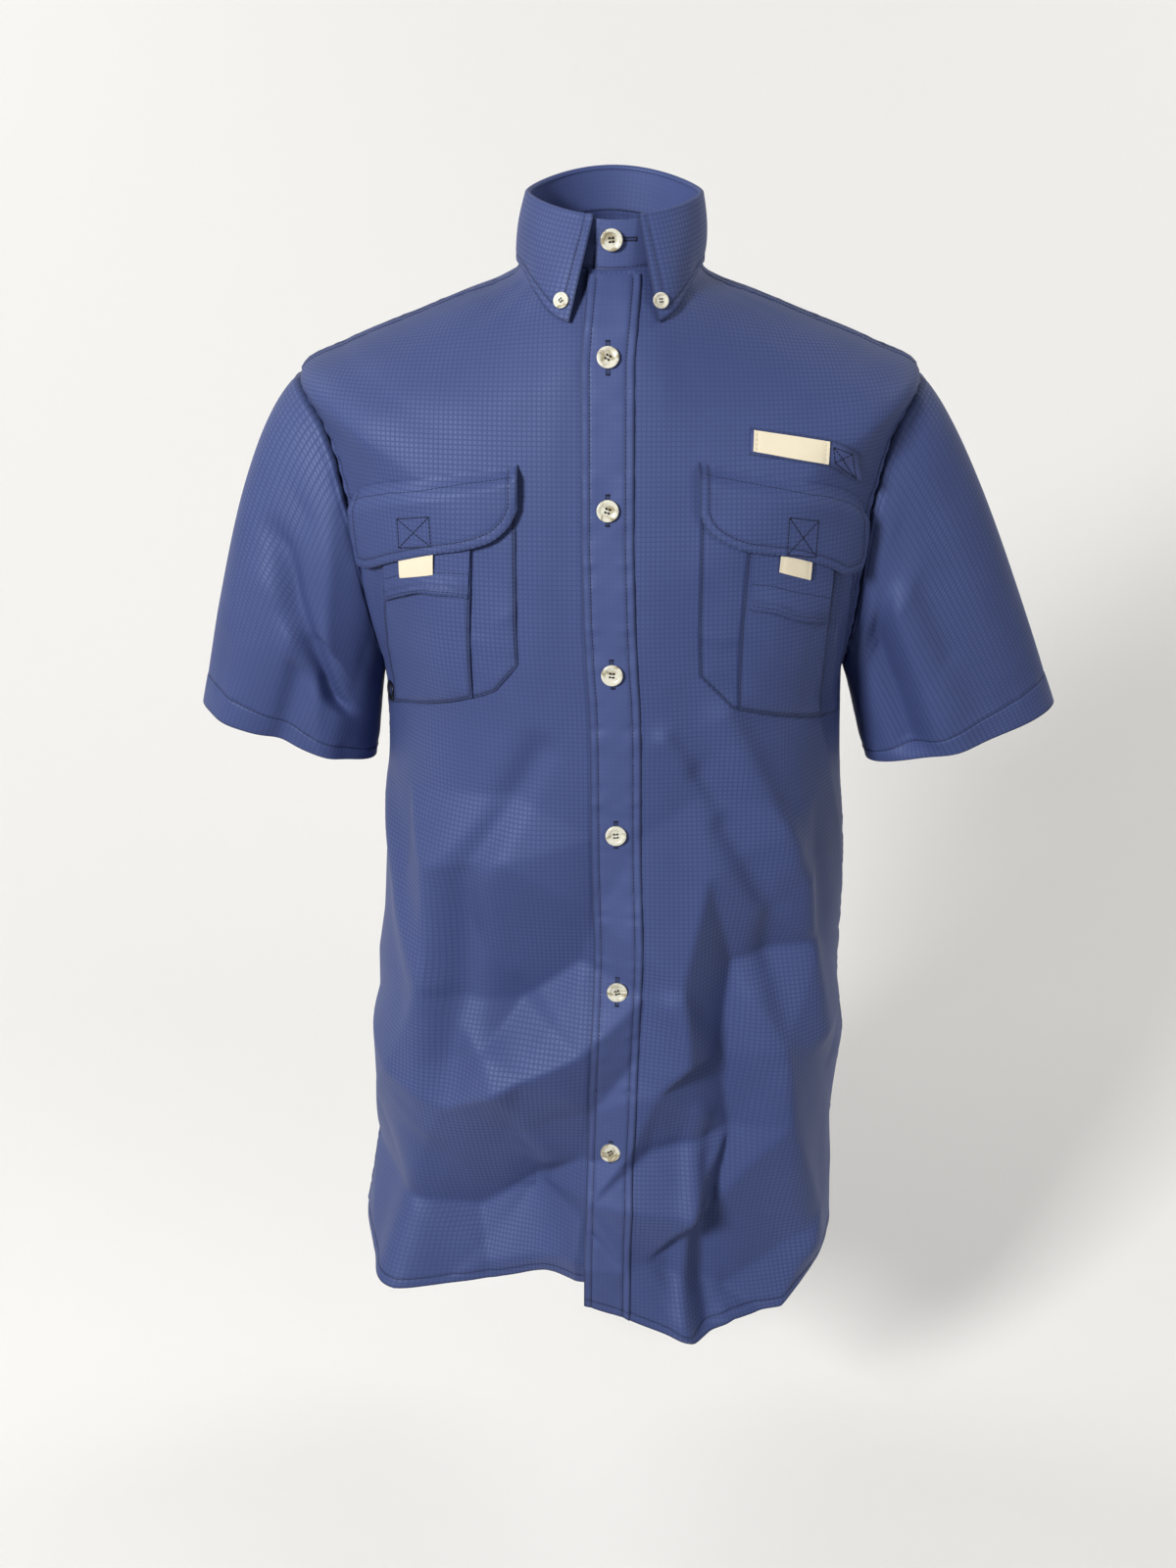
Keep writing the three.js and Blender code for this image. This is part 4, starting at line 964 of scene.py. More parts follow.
def make_placket():
    half = PLACKET_WIDTH / 2
    rim, flat_part = half - 1, 10
    across = spaced(
        (-half, -rim, 0.5), (-rim, -flat_part, 0.8), (-flat_part, flat_part, 2),
        (flat_part, rim, 0.8), (rim, half, 0.5),
    )
    bottom = placket_bottom(0.0)
    z = spaced((-3, bottom + 12, 2.2), (bottom + 12, bottom, 1.2))
    x, down = np.meshgrid(across, z)
    near_hem = smooth(-down, -bottom - 60, -bottom)
    height = down + near_hem * (placket_bottom(x) - bottom)
    hem_gap = height - placket_bottom(x)
    edge = half - np.abs(x)
    from_stitch = edge - PLACKET_STITCH
    fine = sunk_line(from_stitch, 0, 0.6, 1.1) + pucker(31, down, from_stitch, 6, 0.75)
    fine = fine - 0.5 * np.exp(-((edge / 0.6) ** 2)) + pucker(34, down + x * 0.2, edge * 0, 5, 0.16)
    at = straight(PLACKET_LINE, height) + x
    on_front = chest(at, height)
    outer = raised(*on_front, PLACKET_LIFT + PLACKET_CLOTH + fine)
    inner = raised(*on_front, PLACKET_LIFT + 0 * fine)
    cloth = np.stack([x, down], -1)
    # Painted shade along the placket's edges, its stitch rows, its hem and hem stitches
    painted_shade = painted_shade_line(edge) + SEWN_SHADE * painted_shade_line(from_stitch)
    painted_shade = painted_shade + painted_shade_line(hem_gap) + SEWN_SHADE * painted_shade_line(hem_gap - HEM_STITCH)
    obj = grid_mesh("placket", outer, inner, cloth, painted_shade)
    return finish_piece(obj, PLAIN, ("placket",))


# Sleeves


def armhole(side, turn):
    """Run, turn and point on the body's edge, round the armhole from its tip at turn 0."""
    b = np.radians(turn)
    run = TIP_RUN + (UNDERARM_RUN - TIP_RUN) * (1 - np.cos(b)) / 2
    scoop = np.where(np.sin(b) > 0, SCOOP_FRONT, SCOOP_BACK)
    edge = side * (90 - scoop * np.sin(b))
    return run, edge, body(run, edge, UNDER_FOLDS if side < 0 else ())[0]


def sleeve_start(side, turn):
    run, edge, point = armhole(side, turn)
    out = torso_normal(run, edge)
    round_it = armhole(side, turn + 1)[2] - armhole(side, turn - 1)[2]
    inward = unit(np.cross(round_it, out))
    middle = torso((TIP_RUN + UNDERARM_RUN) / 2, side * 90.0)
    wrong = ((middle - point) * inward).sum(-1, keepdims=True) < 0
    return point + out * 0.5 + np.where(wrong, -inward, inward) * 0.3


def sleeve_line(shape, turn, down):
    """Points of a sleeve before its folds, from the armhole at down 0 to the cuff at 1."""
    b = np.radians(turn)
    tilt, pitch = math.radians(shape["tilt"]), math.radians(shape["pitch"])
    out, deep = shape["reach"] * np.cos(b), shape["deep"] * np.sin(b)
    cuff = np.stack([
        shape["x"] + shape["side"] * out * math.cos(tilt),
        shape["y"] - deep,
        shape["z"] + out * math.sin(tilt) + deep * math.sin(pitch),
    ], -1)
    point = mix(sleeve_start(shape["side"], turn), cuff, down[..., None])
    puff = shape["puff"] * np.sin(np.pi * np.maximum(0, down) ** 0.6)
    lean = np.stack([shape["side"] * np.cos(b), -np.sin(b), 0.3 * np.cos(b)], -1)
    return point + lean * (puff * np.maximum(0, 0.35 + 0.65 * np.cos(b)))[..., None]


def make_sleeve(name):
    shape, folds = SLEEVES[name], SLEEVE_FOLDS[name]
    turn = np.linspace(0, 360, 141)[:-1]
    hem = 1 - SLEEVE_HEM / SLEEVE_LENGTH
    down = spaced(
        (0, 0.06, 1.6 / SLEEVE_LENGTH), (0.06, hem - 0.015, 3 / SLEEVE_LENGTH),
        (hem - 0.015, hem + 0.015, 1 / SLEEVE_LENGTH), (hem + 0.015, 0.985, 3 / SLEEVE_LENGTH),
        (0.985, 1, 1.2 / SLEEVE_LENGTH),
    )
    t, d = np.meshgrid(turn, down)
    base = sleeve_line(shape, t, d)
    facing = grid_normals(base, ringed=True)
    axis = np.roll(base, len(turn) // 2, 1) - base
    facing = np.where((axis * facing).sum(-1, keepdims=True) > 0, -facing, facing)
    out = smooth(d, 0, 0.2) * fold_out(folds, SLEEVE_PER_DEGREE, SLEEVE_LENGTH, t, d)
    seam = d * SLEEVE_LENGTH
    hem_gap = (1 - d) * SLEEVE_LENGTH
    loop = np.abs(t - 180) * SLEEVE_PER_DEGREE
    fine = pucker(41, loop, seam, 14, 0.9) + sunk_line(seam, 0, 1.0, 2.5) + sunk_line(seam, 7, 0.5, 1.8)
    fine = fine + pucker(44, loop, hem_gap - SLEEVE_HEM, 8, 0.5) + sunk_line(hem_gap, SLEEVE_HEM, 0.7, 1.5)
    fine = fine + np.where(hem_gap < SLEEVE_HEM, 0.4, 0)
    fine = fine + noise(46, loop, seam * 0.6, 30) * 0.7 * smooth(d, 0.05, 0.3)
    outer = base + facing * (out + fine)[..., None]
    thick = CLOTH + 0.5 * (hem_gap < SLEEVE_HEM)
    inner = outer - facing * thick[..., None]
    u = np.append(turn, 360)[None] * 1.08 + 0 * down[:, None]
    cloth = np.stack([u, -SLEEVE_LENGTH * down[:, None] + 0 * u], -1)
    # Painted shade along the armhole seam, the cuff hem and its stitches
    painted_shade = painted_shade_line(seam, 2.0) + painted_shade_line(hem_gap) + SEWN_SHADE * painted_shade_line(hem_gap - SLEEVE_HEM, 1.5)
    obj = grid_mesh(f"sleeve_{name}", outer, inner, cloth, painted_shade, ringed=True)
    return finish_piece(obj, SHIRT, (f"sleeve_{name}",))


# Collar


def stand_top(turn):
    """Height of the collar stand's upper edge."""
    c = np.cos(np.radians(turn))
    level = np.where(c > 0, STAND_TOP["front"], STAND_TOP["back"])
    return STAND_TOP["side"] + (level - STAND_TOP["side"]) * c * c


def outward(turn):
    turn = np.radians(turn)
    return np.stack([np.sin(turn), -np.cos(turn), 0 * turn], -1)


def make_collar_stand():
    sweep = STAND_UNDER_END - (STAND_OVER_END - 360)
    u = spaced((0, 0.02, 0.002), (0.02, 0.98, 1 / 170), (0.98, 1, 0.002))
    v = spaced((0, 1, 1 / 16))
    u, v = np.meshgrid(u, v)
    turn = STAND_UNDER_END - sweep * u
    passed = STAND_UNDER_END - turn
    under = STAND_UNDER_INSET * (1 - smooth(passed, 2 * STAND_UNDER_END + 4, 75))
    seam = torso(0, turn)
    top = stand_top(turn)
    end_gap = np.minimum(passed, sweep - passed) * NECK_PER_DEGREE
    rounded = np.maximum(0, STAND_CORNER - end_gap)
    top = top - (STAND_CORNER - np.sqrt(np.maximum(STAND_CORNER**2 - rounded**2, 0)))
    z = mix(seam[..., 2] + 0.35, top, v)
    high = v * (top - seam[..., 2])
    fine = sunk_line(high, 2.2, 0.3, 1.2) + pucker(51, turn, high, 5, 0.3)

    def face(depth):
        points = seam.copy()
        points[..., 2] = z
        points = points + outward(turn) * (-under - STAND_LEAN * v - depth)[..., None]
        points[..., 0] += COLLAR_TOP_SHIFT * v
        return points

    cloth = np.stack([turn * NECK_PER_DEGREE, high], -1)
    # Painted shade along the stand's neck seam and its ends
    painted_shade = painted_shade_line(high) + painted_shade_line(end_gap)
    obj = grid_mesh("collar_stand", face(-fine), face(COLLAR_CLOTH + 0 * fine), cloth, painted_shade)
    return finish_piece(obj, PLAIN, ("collar_stand",))


def leaf_line(turn, k):
    """Out from the neck and up, along the leaf: 0-1 rise, 1-5 bend, 5-9 fall."""
    top = stand_top(turn)
    seam = torso(0, turn)
    plan = np.hypot(seam[..., 0], seam[..., 1]) - STAND_LEAN
    start = -1.8
    away = np.abs((turn + 540) % 360 - 180)
    edge_z = curve([r[0] for r in LEAF_EDGE], [r[1] for r in LEAF_EDGE], away)
    below = torso(run_at(edge_z, turn), turn)
    clear = mix(4.6, 2.0, smooth(away, 25, 60)) + COLLAR_CLOTH
    brow = start + 2 * LEAF_BEND
    edge_out = np.maximum(np.hypot(below[..., 0], below[..., 1]) + clear - plan, brow + 1.5)
    bend = np.pi * np.clip((k - 1) / 4, 0, 1)
    fall = np.clip((k - 5) / 4, 0, 1)
    rise = LEAF_RISE * np.clip(k, 0, 1) + 0.35 * (1 - np.clip(k, 0, 1))
    out = start + LEAF_BEND * (1 - np.cos(bend))
    up = top + rise + LEAF_BEND * np.sin(bend)
    out = np.where(k > 5, mix(brow, edge_out, fall) + LEAF_FALL_BULGE * np.sin(np.pi * fall), out)
    up = np.where(k > 5, mix(top + LEAF_RISE, edge_z, fall), up)
    return plan + out, up


def leaf_points(u, k):
    down = np.clip((k - 5) / 4, 0, 1)
    right = mix(LEAF_FRONT["right_top"], LEAF_FRONT["right_point"], down)
    left = mix(LEAF_FRONT["left_top"], LEAF_FRONT["left_point"], down) - 360
    turn = mix(right, left, u)
    out, up = leaf_line(turn, k)
    points = outward(turn) * out[..., None]
    points[..., 0] += COLLAR_TOP_SHIFT * (1 - down)
    points[..., 2] = up
    return points


def make_collar_leaf():
    u = spaced((0, 0.02, 0.0025), (0.02, 0.98, 1 / 180), (0.98, 1, 0.0025))
    k = spaced((0, 1, 0.5), (1, 5, 0.4), (5, 8.4, 0.17), (8.4, 9, 0.07))
    u, k = np.meshgrid(u, k)
    base = leaf_points(u, k)
    facing = grid_normals(base)
    if (facing[-1] * base[-1] * [1, 1, 0]).sum() < 0:
        facing = -facing
    from_edge = np.clip((9 - k) / 4, 0, 1) * LEAF_FALL
    from_end = np.minimum(u, 1 - u) * LEAF_LENGTH
    edge = np.where(k > 5, np.minimum(from_edge, from_end), from_end)
    from_stitch = edge - LEAF_STITCH
    fine = sunk_line(edge, LEAF_STITCH, 0.4) + pucker(61, u * LEAF_LENGTH + k * 9, from_stitch, 6, 0.28)
    fine = fine - 0.45 * np.exp(-((edge / 0.7) ** 2))
    outer = base + facing * fine[..., None]
    inner = base - facing * COLLAR_CLOTH
    steps = np.linalg.norm(np.diff(base, axis=0), axis=-1)
    fall = np.concatenate([np.zeros((1, u.shape[1])), np.cumsum(steps, 0)])
    cloth = np.stack([u * LEAF_LENGTH, -fall], -1)
    # Painted shade along the leaf's edges and its stitch rows
    painted_shade = painted_shade_line(edge) + SEWN_SHADE * painted_shade_line(from_stitch)
    obj = grid_mesh("collar_leaf", outer, inner, cloth, painted_shade)
    return finish_piece(obj, SHIRT, ("collar_leaf",))


# Pieces sewn on the chest


def patch_grid(table, step, angular=False):
    """Across and height of a dense grid over a piece, with how far along and down the piece each point lies,
    from 0 to 1.
    """
    table = np.array(table, float)
    index = np.arange(len(table))
    wide = np.hypot(*(table[-1, :2] - table[0, :2]))
    columns = spaced((0, 1, step / wide))
    reach = np.concatenate([[0], np.cumsum(np.hypot(np.diff(table[:, 2]), np.diff(table[:, 3])))])
    stops = np.interp(columns * reach[-1], reach, index)
    if angular or len(table) == 2:
        edge = [np.interp(stops, index, table[:, c]) for c in range(4)]
    else:
        edge = [curve(index, table[:, c], stops) for c in range(4)]
    high = np.abs(table[:, 1] - table[:, 3]).max()
    v = spaced((0, 1, step / high))[:, None]
    across = mix(edge[0][None], edge[2][None], v)
    z = mix(edge[1][None], edge[3][None], v)
    return across, z, stops[None] / index[-1] + 0 * v, v + 0 * across


def edge_gap(across, z, sides):
    """Distance from the nearest of the named sides of a patch grid."""
    gap = np.full(across.shape, 1e3)
    whole = slice(None)
    lines = dict(top=(0, whole), bottom=(-1, whole), start=(whole, 0), end=(whole, -1))
    for side in sides:
        line = np.stack([across[lines[side]], z[lines[side]]], -1)[::2]
        for point in line:
            gap = np.minimum(gap, np.hypot(across - point[0], z - point[1]))
    return np.maximum(gap - 0.3, 0)


def make_patch(name, table, lift, cloth, material, slot, sides, stitch_in, seed, step=PATCH_STEP,
               folds=None, angular=False):
    across, z, u, v = patch_grid(table, step, angular)
    gap = edge_gap(across, z, sides)
    fine = sunk_line(gap, stitch_in, 0.4, 1.2) + 0.25 * (gap < stitch_in)
    fine = fine + pucker(seed, across + z, gap - stitch_in, 6, 0.3)
    fine = fine - 0.3 * np.exp(-((gap / 0.8) ** 2))
    if folds:
        fine = fine + fold_out(folds, 1, 1, across, z)
    height = lift(u, v)
    on_front = chest(across, z)
    outer = raised(*on_front, height + cloth + fine)
    inner = raised(*on_front, height)
    # Painted shade along the piece's sewn edges and stitch rows, where contact shade falls
    painted_shade = painted_shade_line(gap) + SEWN_SHADE * painted_shade_line(gap - stitch_in)
    obj = grid_mesh(name, outer, inner, np.stack([across, z], -1), painted_shade)
    return finish_piece(obj, material, (name,))


def flap_lift(u, v):
    return mix(0.4, FLAP_LIFT, smooth(v, 0, 0.3)) - 1.5 * smooth(v, 0.55, 1) * (1 - np.sin(np.pi * u))


def welt_lift(u, v):
    return WELT_LIFT + WELT_GAPE * smooth(v, 0.55, 1) * np.sin(np.pi * u)


def rod_lift(u, v):
    return ROD_LIFT + 3 * smooth(u, 0.72, 1) * smooth(v, 0.2, 1)


def label_lift(u, v):
    return ROD_LABEL_LIFT + 0 * u


def base_lift(u, v):
    return BASE_LIFT + 0 * u


def front_lift(u, v):
    held = smooth(v, 0, 0.1) * (1 - smooth(v, 0.93, 1))
    return BASE_LIFT + CLOTH + 0.4 + (FRONT_LIFT - 1.0) * mix(0.3, 1, held) * (0.7 + 0.3 * np.sin(np.pi * u))


def tab_lift(u, v):
    return TAB_LIFT + 1.0 * np.sin(np.pi * np.clip(v, 0, 1)) + 0 * u


# Folds on the pocket pieces, in across and height
GUSSET_FOLDS = dict(
    right=[[-70, -218, -90, -232, 5, 1.2, -0.8, 0.6], [-68, -250, -92, -236, 6, -0.8, 1.2, 0.5],
           [-188, -200, -200, -290, 6, 2.0, 1.6, 0.4], [-178, -205, -186, -295, 5, -1.6, -1.2, 0.4]],
    left=[[62, -232, 84, -236, 4, 1.0, 1.0, 0.7], [66, -258, 84, -240, 6, 0.6, -0.8, 0.5],
          [170, -240, 182, -305, 6, 2.0, 1.6, 0.5], [164, -220, 172, -300, 5, -1.4, -1.0, 0.5]],
)
POCKET_FOLDS = dict(
    right=[[-110, -215, -128, -286, 9, 0.8, 0.5, 0.2], [-150, -225, -160, -290, 8, -0.8, -0.4, 0.2]],
    left=[[150, -245, 140, -300, 7, -1.4, -0.8, 0.3], [112, -235, 118, -285, 9, 0.7, 0.4, 0.2]],
)


def make_pocket(side, tables, seed):
    name = f"{side}_pocket"
    cloth = (CLOTH, SHIRT, "shirt_cloth")
    every = ("top", "bottom", "start", "end")
    base = make_patch(f"{name}_base", tables["base"], base_lift, *cloth, every, EDGE_STITCH, seed,
                      folds=GUSSET_FOLDS[side], angular=True)
    make_patch(f"{name}_front", tables["front"], front_lift, *cloth, every, EDGE_STITCH, seed + 2,
               folds=POCKET_FOLDS[side])
    make_patch(f"{name}_welt", tables["welt"], welt_lift, *cloth, ("top", "bottom"), WELT_STITCH, seed + 4)
    make_patch(f"{name}_tab", tables["tab"], tab_lift, LABEL_CLOTH, TAPE, "blank_label",
               ("start", "end"), TAB_STITCH, seed + 6, step=1.2)
    make_patch(f"{name}_flap", tables["flap"], flap_lift, *cloth, ("start", "bottom", "end"),
               FLAP_STITCH, seed + 8)
    return base


# Thread


def spindle(sides=4):
    """Points and faces of one stitch, lying along x, half sunk in the cloth."""
    rings = [(-0.5, 0.25), (-0.28, 0.95), (0.28, 0.95), (0.5, 0.25)]
    points = [
        (x, r * math.cos(2 * math.pi * s / sides), r * 0.6 * math.sin(2 * math.pi * s / sides))
        for x, r in rings for s in range(sides)
    ]
    faces = [
        (a * sides + s, (a + 1) * sides + s, (a + 1) * sides + (s + 1) % sides, a * sides + (s + 1) % sides)
        for a in range(len(rings) - 1) for s in range(sides)
    ]
    faces += [tuple(range(sides)), tuple(range(len(points) - 1, len(points) - 1 - sides, -1))]
    return np.array(points), [f[::-1] for f in faces]


SPINDLE, SPINDLE_FACES = spindle()


def tree_of(obj):
    mesh = obj.data
    return BVHTree.FromPolygons([v.co for v in mesh.vertices], [p.vertices for p in mesh.polygons])


trees = {}


def surface(piece, points, facings, reach=30.0):
    """Where lines dropped from outside meet a piece, in millimetres, and its facing there.

    Lines that miss the piece, past its edge, are left out.
    """
    if piece not in trees:
        trees[piece] = tree_of(built[piece])
    hits, normals = [], []
    for point, facing in zip(points, facings):
        start = Vector(((point + facing * reach) * MM).tolist())
        hit, normal, _, _ = trees[piece].ray_cast(start, Vector((-facing).tolist()), 2 * reach * MM)
        if hit is not None:
            hits.append(np.array(hit) / MM)
            normals.append(np.array(normal))
    return np.array(hits), np.array(normals)


def stitches_along(points, facings, pitch=STITCH_PITCH, long=STITCH_LONG, wide=STITCH_WIDE, lift=0.05):
    """A stitch at every pitch along a line that lies on the cloth."""
    length = np.concatenate([[0], np.cumsum(np.linalg.norm(np.diff(points, axis=0), axis=1))])
    count = max(1, int(length[-1] / pitch))
    at = (np.arange(count) + 0.5) * length[-1] / count

    def line(a, values):
        return np.stack([np.interp(a, length, values[:, k]) for k in range(3)], -1)

    middle, facing = line(at, points), unit(line(at, facings))
    along = unit(line(at + 0.6, points) - line(at - 0.6, points))
    side = unit(np.cross(facing, along))
    up = np.cross(along, side)
    return [
        m + np.outer(SPINDLE[:, 0] * long, a) + np.outer(SPINDLE[:, 1] * wide / 2, s)
        + np.outer(SPINDLE[:, 2] * wide / 2, n) + n * lift
        for m, a, s, n in zip(middle, along, side, up)
    ]


def thread_piece(name, stitches, material=NAVY_THREAD):
    points = np.concatenate(stitches) * MM
    faces = [tuple(i + k * len(SPINDLE) for i in f) for k in range(len(stitches)) for f in SPINDLE_FACES]
    mesh = bpy.data.meshes.new(name)
    mesh.from_pydata(points.tolist(), [], faces)
    mesh.shade_smooth()
    obj = bpy.data.objects.new(name, mesh)
    bpy.context.scene.collection.objects.link(obj)
    return finish_piece(obj, material)


def chest_line(places, piece, step=1.3, **look):
    """Stitches along straight lines between places given across and in height."""
    places = np.array(places, float)
    length = np.concatenate([[0], np.cumsum(np.hypot(*np.diff(places, axis=0).T))])
    at = spaced((0, length[-1], step))
    across, z = (np.interp(at, length, places[:, k]) for k in range(2))
    return stitches_along(*surface(piece, *chest(across, z)), **look)


def bars(ends, piece, **look):
    """One stitch from end to end of each pair of places on the chest."""
    ends = np.array(ends, float)
    points, facings = surface(piece, *chest(ends[..., 0].ravel(), ends[..., 1].ravel()))
    pairs = zip(points.reshape(-1, 2, 3), facings.reshape(-1, 2, 3))
    return [stitch for pair in pairs for stitch in stitches_along(*pair, pitch=99, **look)]


def inset(table, sides, gap, angular=False):
    """The line that runs inside a piece's edge, a gap in from it."""
    across, z, _, _ = patch_grid(table, 2.0, angular)
    lines = []
    if "start" in sides:
        lines.append(np.stack([across[:, 0], z[:, 0]], -1))
    if "bottom" in sides:
        lines.append(np.stack([across[-1], z[-1]], -1))
    if "end" in sides:
        lines.append(np.stack([across[::-1, -1], z[::-1, -1]], -1))
    if "top" in sides:
        lines.append(np.stack([across[0, ::-1], z[0, ::-1]], -1))
    edge = np.concatenate(lines)
    edge = edge[np.concatenate([[True], np.hypot(*np.diff(edge, axis=0).T) > 0.2])]
    middle = np.array([across.mean(), z.mean()])
    along = unit(np.gradient(edge, axis=0))
    inward = np.stack([-along[:, 1], along[:, 0]], -1)
    if ((middle - edge) * inward).sum() < 0:
        inward = -inward
    moved = edge + inward * gap
    nearest = np.array([np.hypot(*(edge - p).T).min() for p in moved])
    return moved[nearest > gap * 0.93]


def crossed_box(corners, piece):
    a, b, c, d = corners
    look = dict(long=BOX_STITCH_LONG, wide=BOX_STITCH_WIDE)
    return (
        chest_line([a, b, c, d, a], piece, **look)
        + chest_line([a, c], piece, **look) + chest_line([b, d], piece, **look)
    )


def sew_pocket(side, tables):
    name = f"{side}_pocket"
    flap, base, front = (f"{name}_{p}" for p in ("flap", "base", "front"))
    x1, x2, z1, z2 = FLAP_CROSS[side]
    slant = (tables["flap"][5][1] - tables["flap"][3][1]) / (tables["flap"][5][0] - tables["flap"][3][0])

    def corner(x, z):
        return x, z + slant * (x - x1)

    box = [corner(x1, z1), corner(x2, z1), corner(x2, z2), corner(x1, z2)]
    top = [(row[0], row[1] - 7) for row in tables["flap"]]
    sewn = chest_line(inset(tables["flap"], ("start", "bottom", "end"), FLAP_STITCH), flap)
    sewn += chest_line(top[1:-1], flap)
    sewn += crossed_box(box, flap)
    sewn += chest_line(inset(tables["base"], ("start", "bottom", "end"), EDGE_STITCH, angular=True), base)
    sewn += chest_line(inset(tables["front"], ("start", "bottom", "end"), EDGE_STITCH), front)
    welt = np.array(tables["welt"], float)
    lines = [
        np.stack([mix(welt[:, 0], welt[:, 2], t), mix(welt[:, 1], welt[:, 3], t)], -1) for t in (0.62, 0.93)
    ]
    for line in lines:
        sewn += chest_line(line, f"{name}_welt")
    return thread_piece(f"{name}_stitching", sewn)


def run_line(run, turn, piece, extra=(), **look):
    return stitches_along(*surface(piece, *body(run, turn, extra)), **look)


def sew_body():
    """Stitches along the hems, and down the side seams: both edges of the back, the outer edge of each front.
    """
    hems, seams = [], []
    for name, cut in PANELS.items():
        edges = [cut["start"](3.0), cut["end"](3.0)]
        turn = spaced((min(edges) + 0.5, max(edges) - 0.5, 0.5))
        run = run_at(straight(cut["hem"], turn), turn) - HEM_STITCH
        hems += run_line(run, turn, name, cut["extra"])
        sides = ("start", "end") if name == "back" else ("end",)
        row = spaced((0.03, 1, 0.01), (1, 2, 0.01), (2, 2.98, 0.006))
        for side in sides:
            for gap in SEAM_ROWS:
                inward = gap / panel_width(cut, row)
                across = inward if side == "start" else 1 - inward
                turn = mix(cut["start"](row), cut["end"](row), across)
                run = row_run(row, turn, straight(cut["hem"], turn))
                seams += run_line(run, turn, name, cut["extra"])
    thread_piece("hem_stitching", hems)
    thread_piece("seam_stitching", seams)


def sew_placket():
    sewn = []
    row = PLACKET_WIDTH / 2 - PLACKET_STITCH
    for offset in (-row, row):
        z = spaced((-5, placket_bottom(offset) + 2, 2.0))
        sewn += chest_line(np.stack([straight(PLACKET_LINE, z) + offset, z], -1), "placket")
    across = spaced((1 - PLACKET_WIDTH / 2, PLACKET_WIDTH / 2 - 1, 1.3))
    z = placket_bottom(across) + HEM_STITCH
    sewn += chest_line(np.stack([straight(PLACKET_LINE, z) + across, z], -1), "placket")
    for at in FRONT_BUTTON_Z:
        sewn += buttonhole(at)
    return thread_piece("placket_stitching", sewn)


def buttonhole(z):
    """Close crosswise stitches down both sides of an upright slit, and a bar over each end."""
    middle = float(straight(PLACKET_LINE, z))
    rows = spaced((z + BUTTONHOLE_HALF, z - BUTTONHOLE_HALF, BUTTONHOLE_PITCH))
    sides = [[(middle + x - 0.75, at), (middle + x + 0.75, at)] for x in (-0.95, 0.95) for at in rows]
    ends = [[(middle - 1.9, at), (middle + 1.9, at)]
            for end in (-1, 1) for at in z + end * (BUTTONHOLE_HALF + np.array([0.2, 0.8]))]
    return bars(sides, "placket", long=1.5, wide=0.5, lift=0.1) + bars(
        ends, "placket", long=3.8, wide=0.8, lift=0.15
    )


def stand_buttonhole():
    """The level buttonhole in the end of the stand, under its button."""
    top = float(stand_top(0.0)) * STAND_BUTTON_UP
    sewn = []
    for up in (-0.95, 0.95):
        for turn in spaced((STAND_HOLE[0], STAND_HOLE[1], 0.6)):
            sewn += stand_bar([turn, turn], [top + up - 0.75, top + up + 0.75], 1.5, 0.5)
    for turn in (STAND_HOLE[0] - 0.3, STAND_HOLE[1] + 0.3, STAND_HOLE[1] + 0.9):
        sewn += stand_bar([turn, turn], [top - 1.9, top + 1.9], 3.8, 0.8)
    return sewn


def stand_bar(turn, z, long, wide):
    turn = np.array(turn, float)
    points = torso(0, turn)
    points[..., 2] = z
    line = surface("collar_stand", points, outward(turn), 8.0)
    return stitches_along(*line, pitch=99, long=long, wide=wide, lift=0.12)


def sew_collar():
    def leaf_path(u, k):
        points = leaf_points(u, k)
        return stitches_along(*surface("collar_leaf", points, unit(points * [1, 1, 0]), 6.0))

    edge = LEAF_STITCH / LEAF_LENGTH
    low = 9 - 4 * LEAF_STITCH / LEAF_FALL
    side_k = spaced((5.4, low, 0.05))
    round_u = spaced((edge, 1 - edge, 0.003))
    sewn = leaf_path(edge + 0 * side_k, side_k) + leaf_path(1 - edge + 0 * side_k, side_k)
    sewn += leaf_path(round_u, low + 0 * round_u)
    turn = spaced((9, -367, 1.0))
    points = torso(0, turn)
    points[..., 2] += 2.6
    sewn += stitches_along(*surface("collar_stand", points, outward(turn), 8.0))
    return thread_piece("collar_stitching", sewn + stand_buttonhole())


def sew_sleeves():
    sewn = []
    for name, shape in SLEEVES.items():
        turn = spaced((0, 360, 1.2))
        down = np.full(turn.shape, 1 - SLEEVE_HEM / SLEEVE_LENGTH)
        points = sleeve_line(shape, turn, down)
        round_it = np.roll(points, -1, 0) - np.roll(points, 1, 0)
        facing = unit(np.cross(round_it, sleeve_line(shape, turn, down + 0.01) - points))
        away = points - points.mean(0)
        facing = np.where((facing * away).sum(-1, keepdims=True) < 0, -facing, facing)
        sewn += stitches_along(*surface(f"sleeve_{name}", points, facing, 12.0))
    return thread_piece("sleeve_stitching", sewn)


def sew_labels():
    sewn = []
    left, right = ROD_LABEL[0], ROD_LABEL[-1]
    for x in (left[0] + 2, right[0] - 2.5):
        z = np.interp(x, [left[0], right[0]], [left[1], right[1]])
        sewn += chest_line([(x, z - 1.2), (x - 0.3, z - 12.5)], "rod_tab_label")
    return thread_piece("label_stitching", sewn, CREAM_THREAD)


# Buttons and eyelet


def placed(obj, point, facing, turn=0.0):
    """Sets a piece that was modelled at the origin on its place, in its mesh."""
    turned = Vector((0, 0, 1)).rotation_difference(Vector(facing.tolist())).to_matrix().to_4x4()
    obj.data.transform(
        Matrix.Translation(Vector((point * MM).tolist())) @ turned @ Matrix.Rotation(turn, 4, "Z")
    )
    return obj


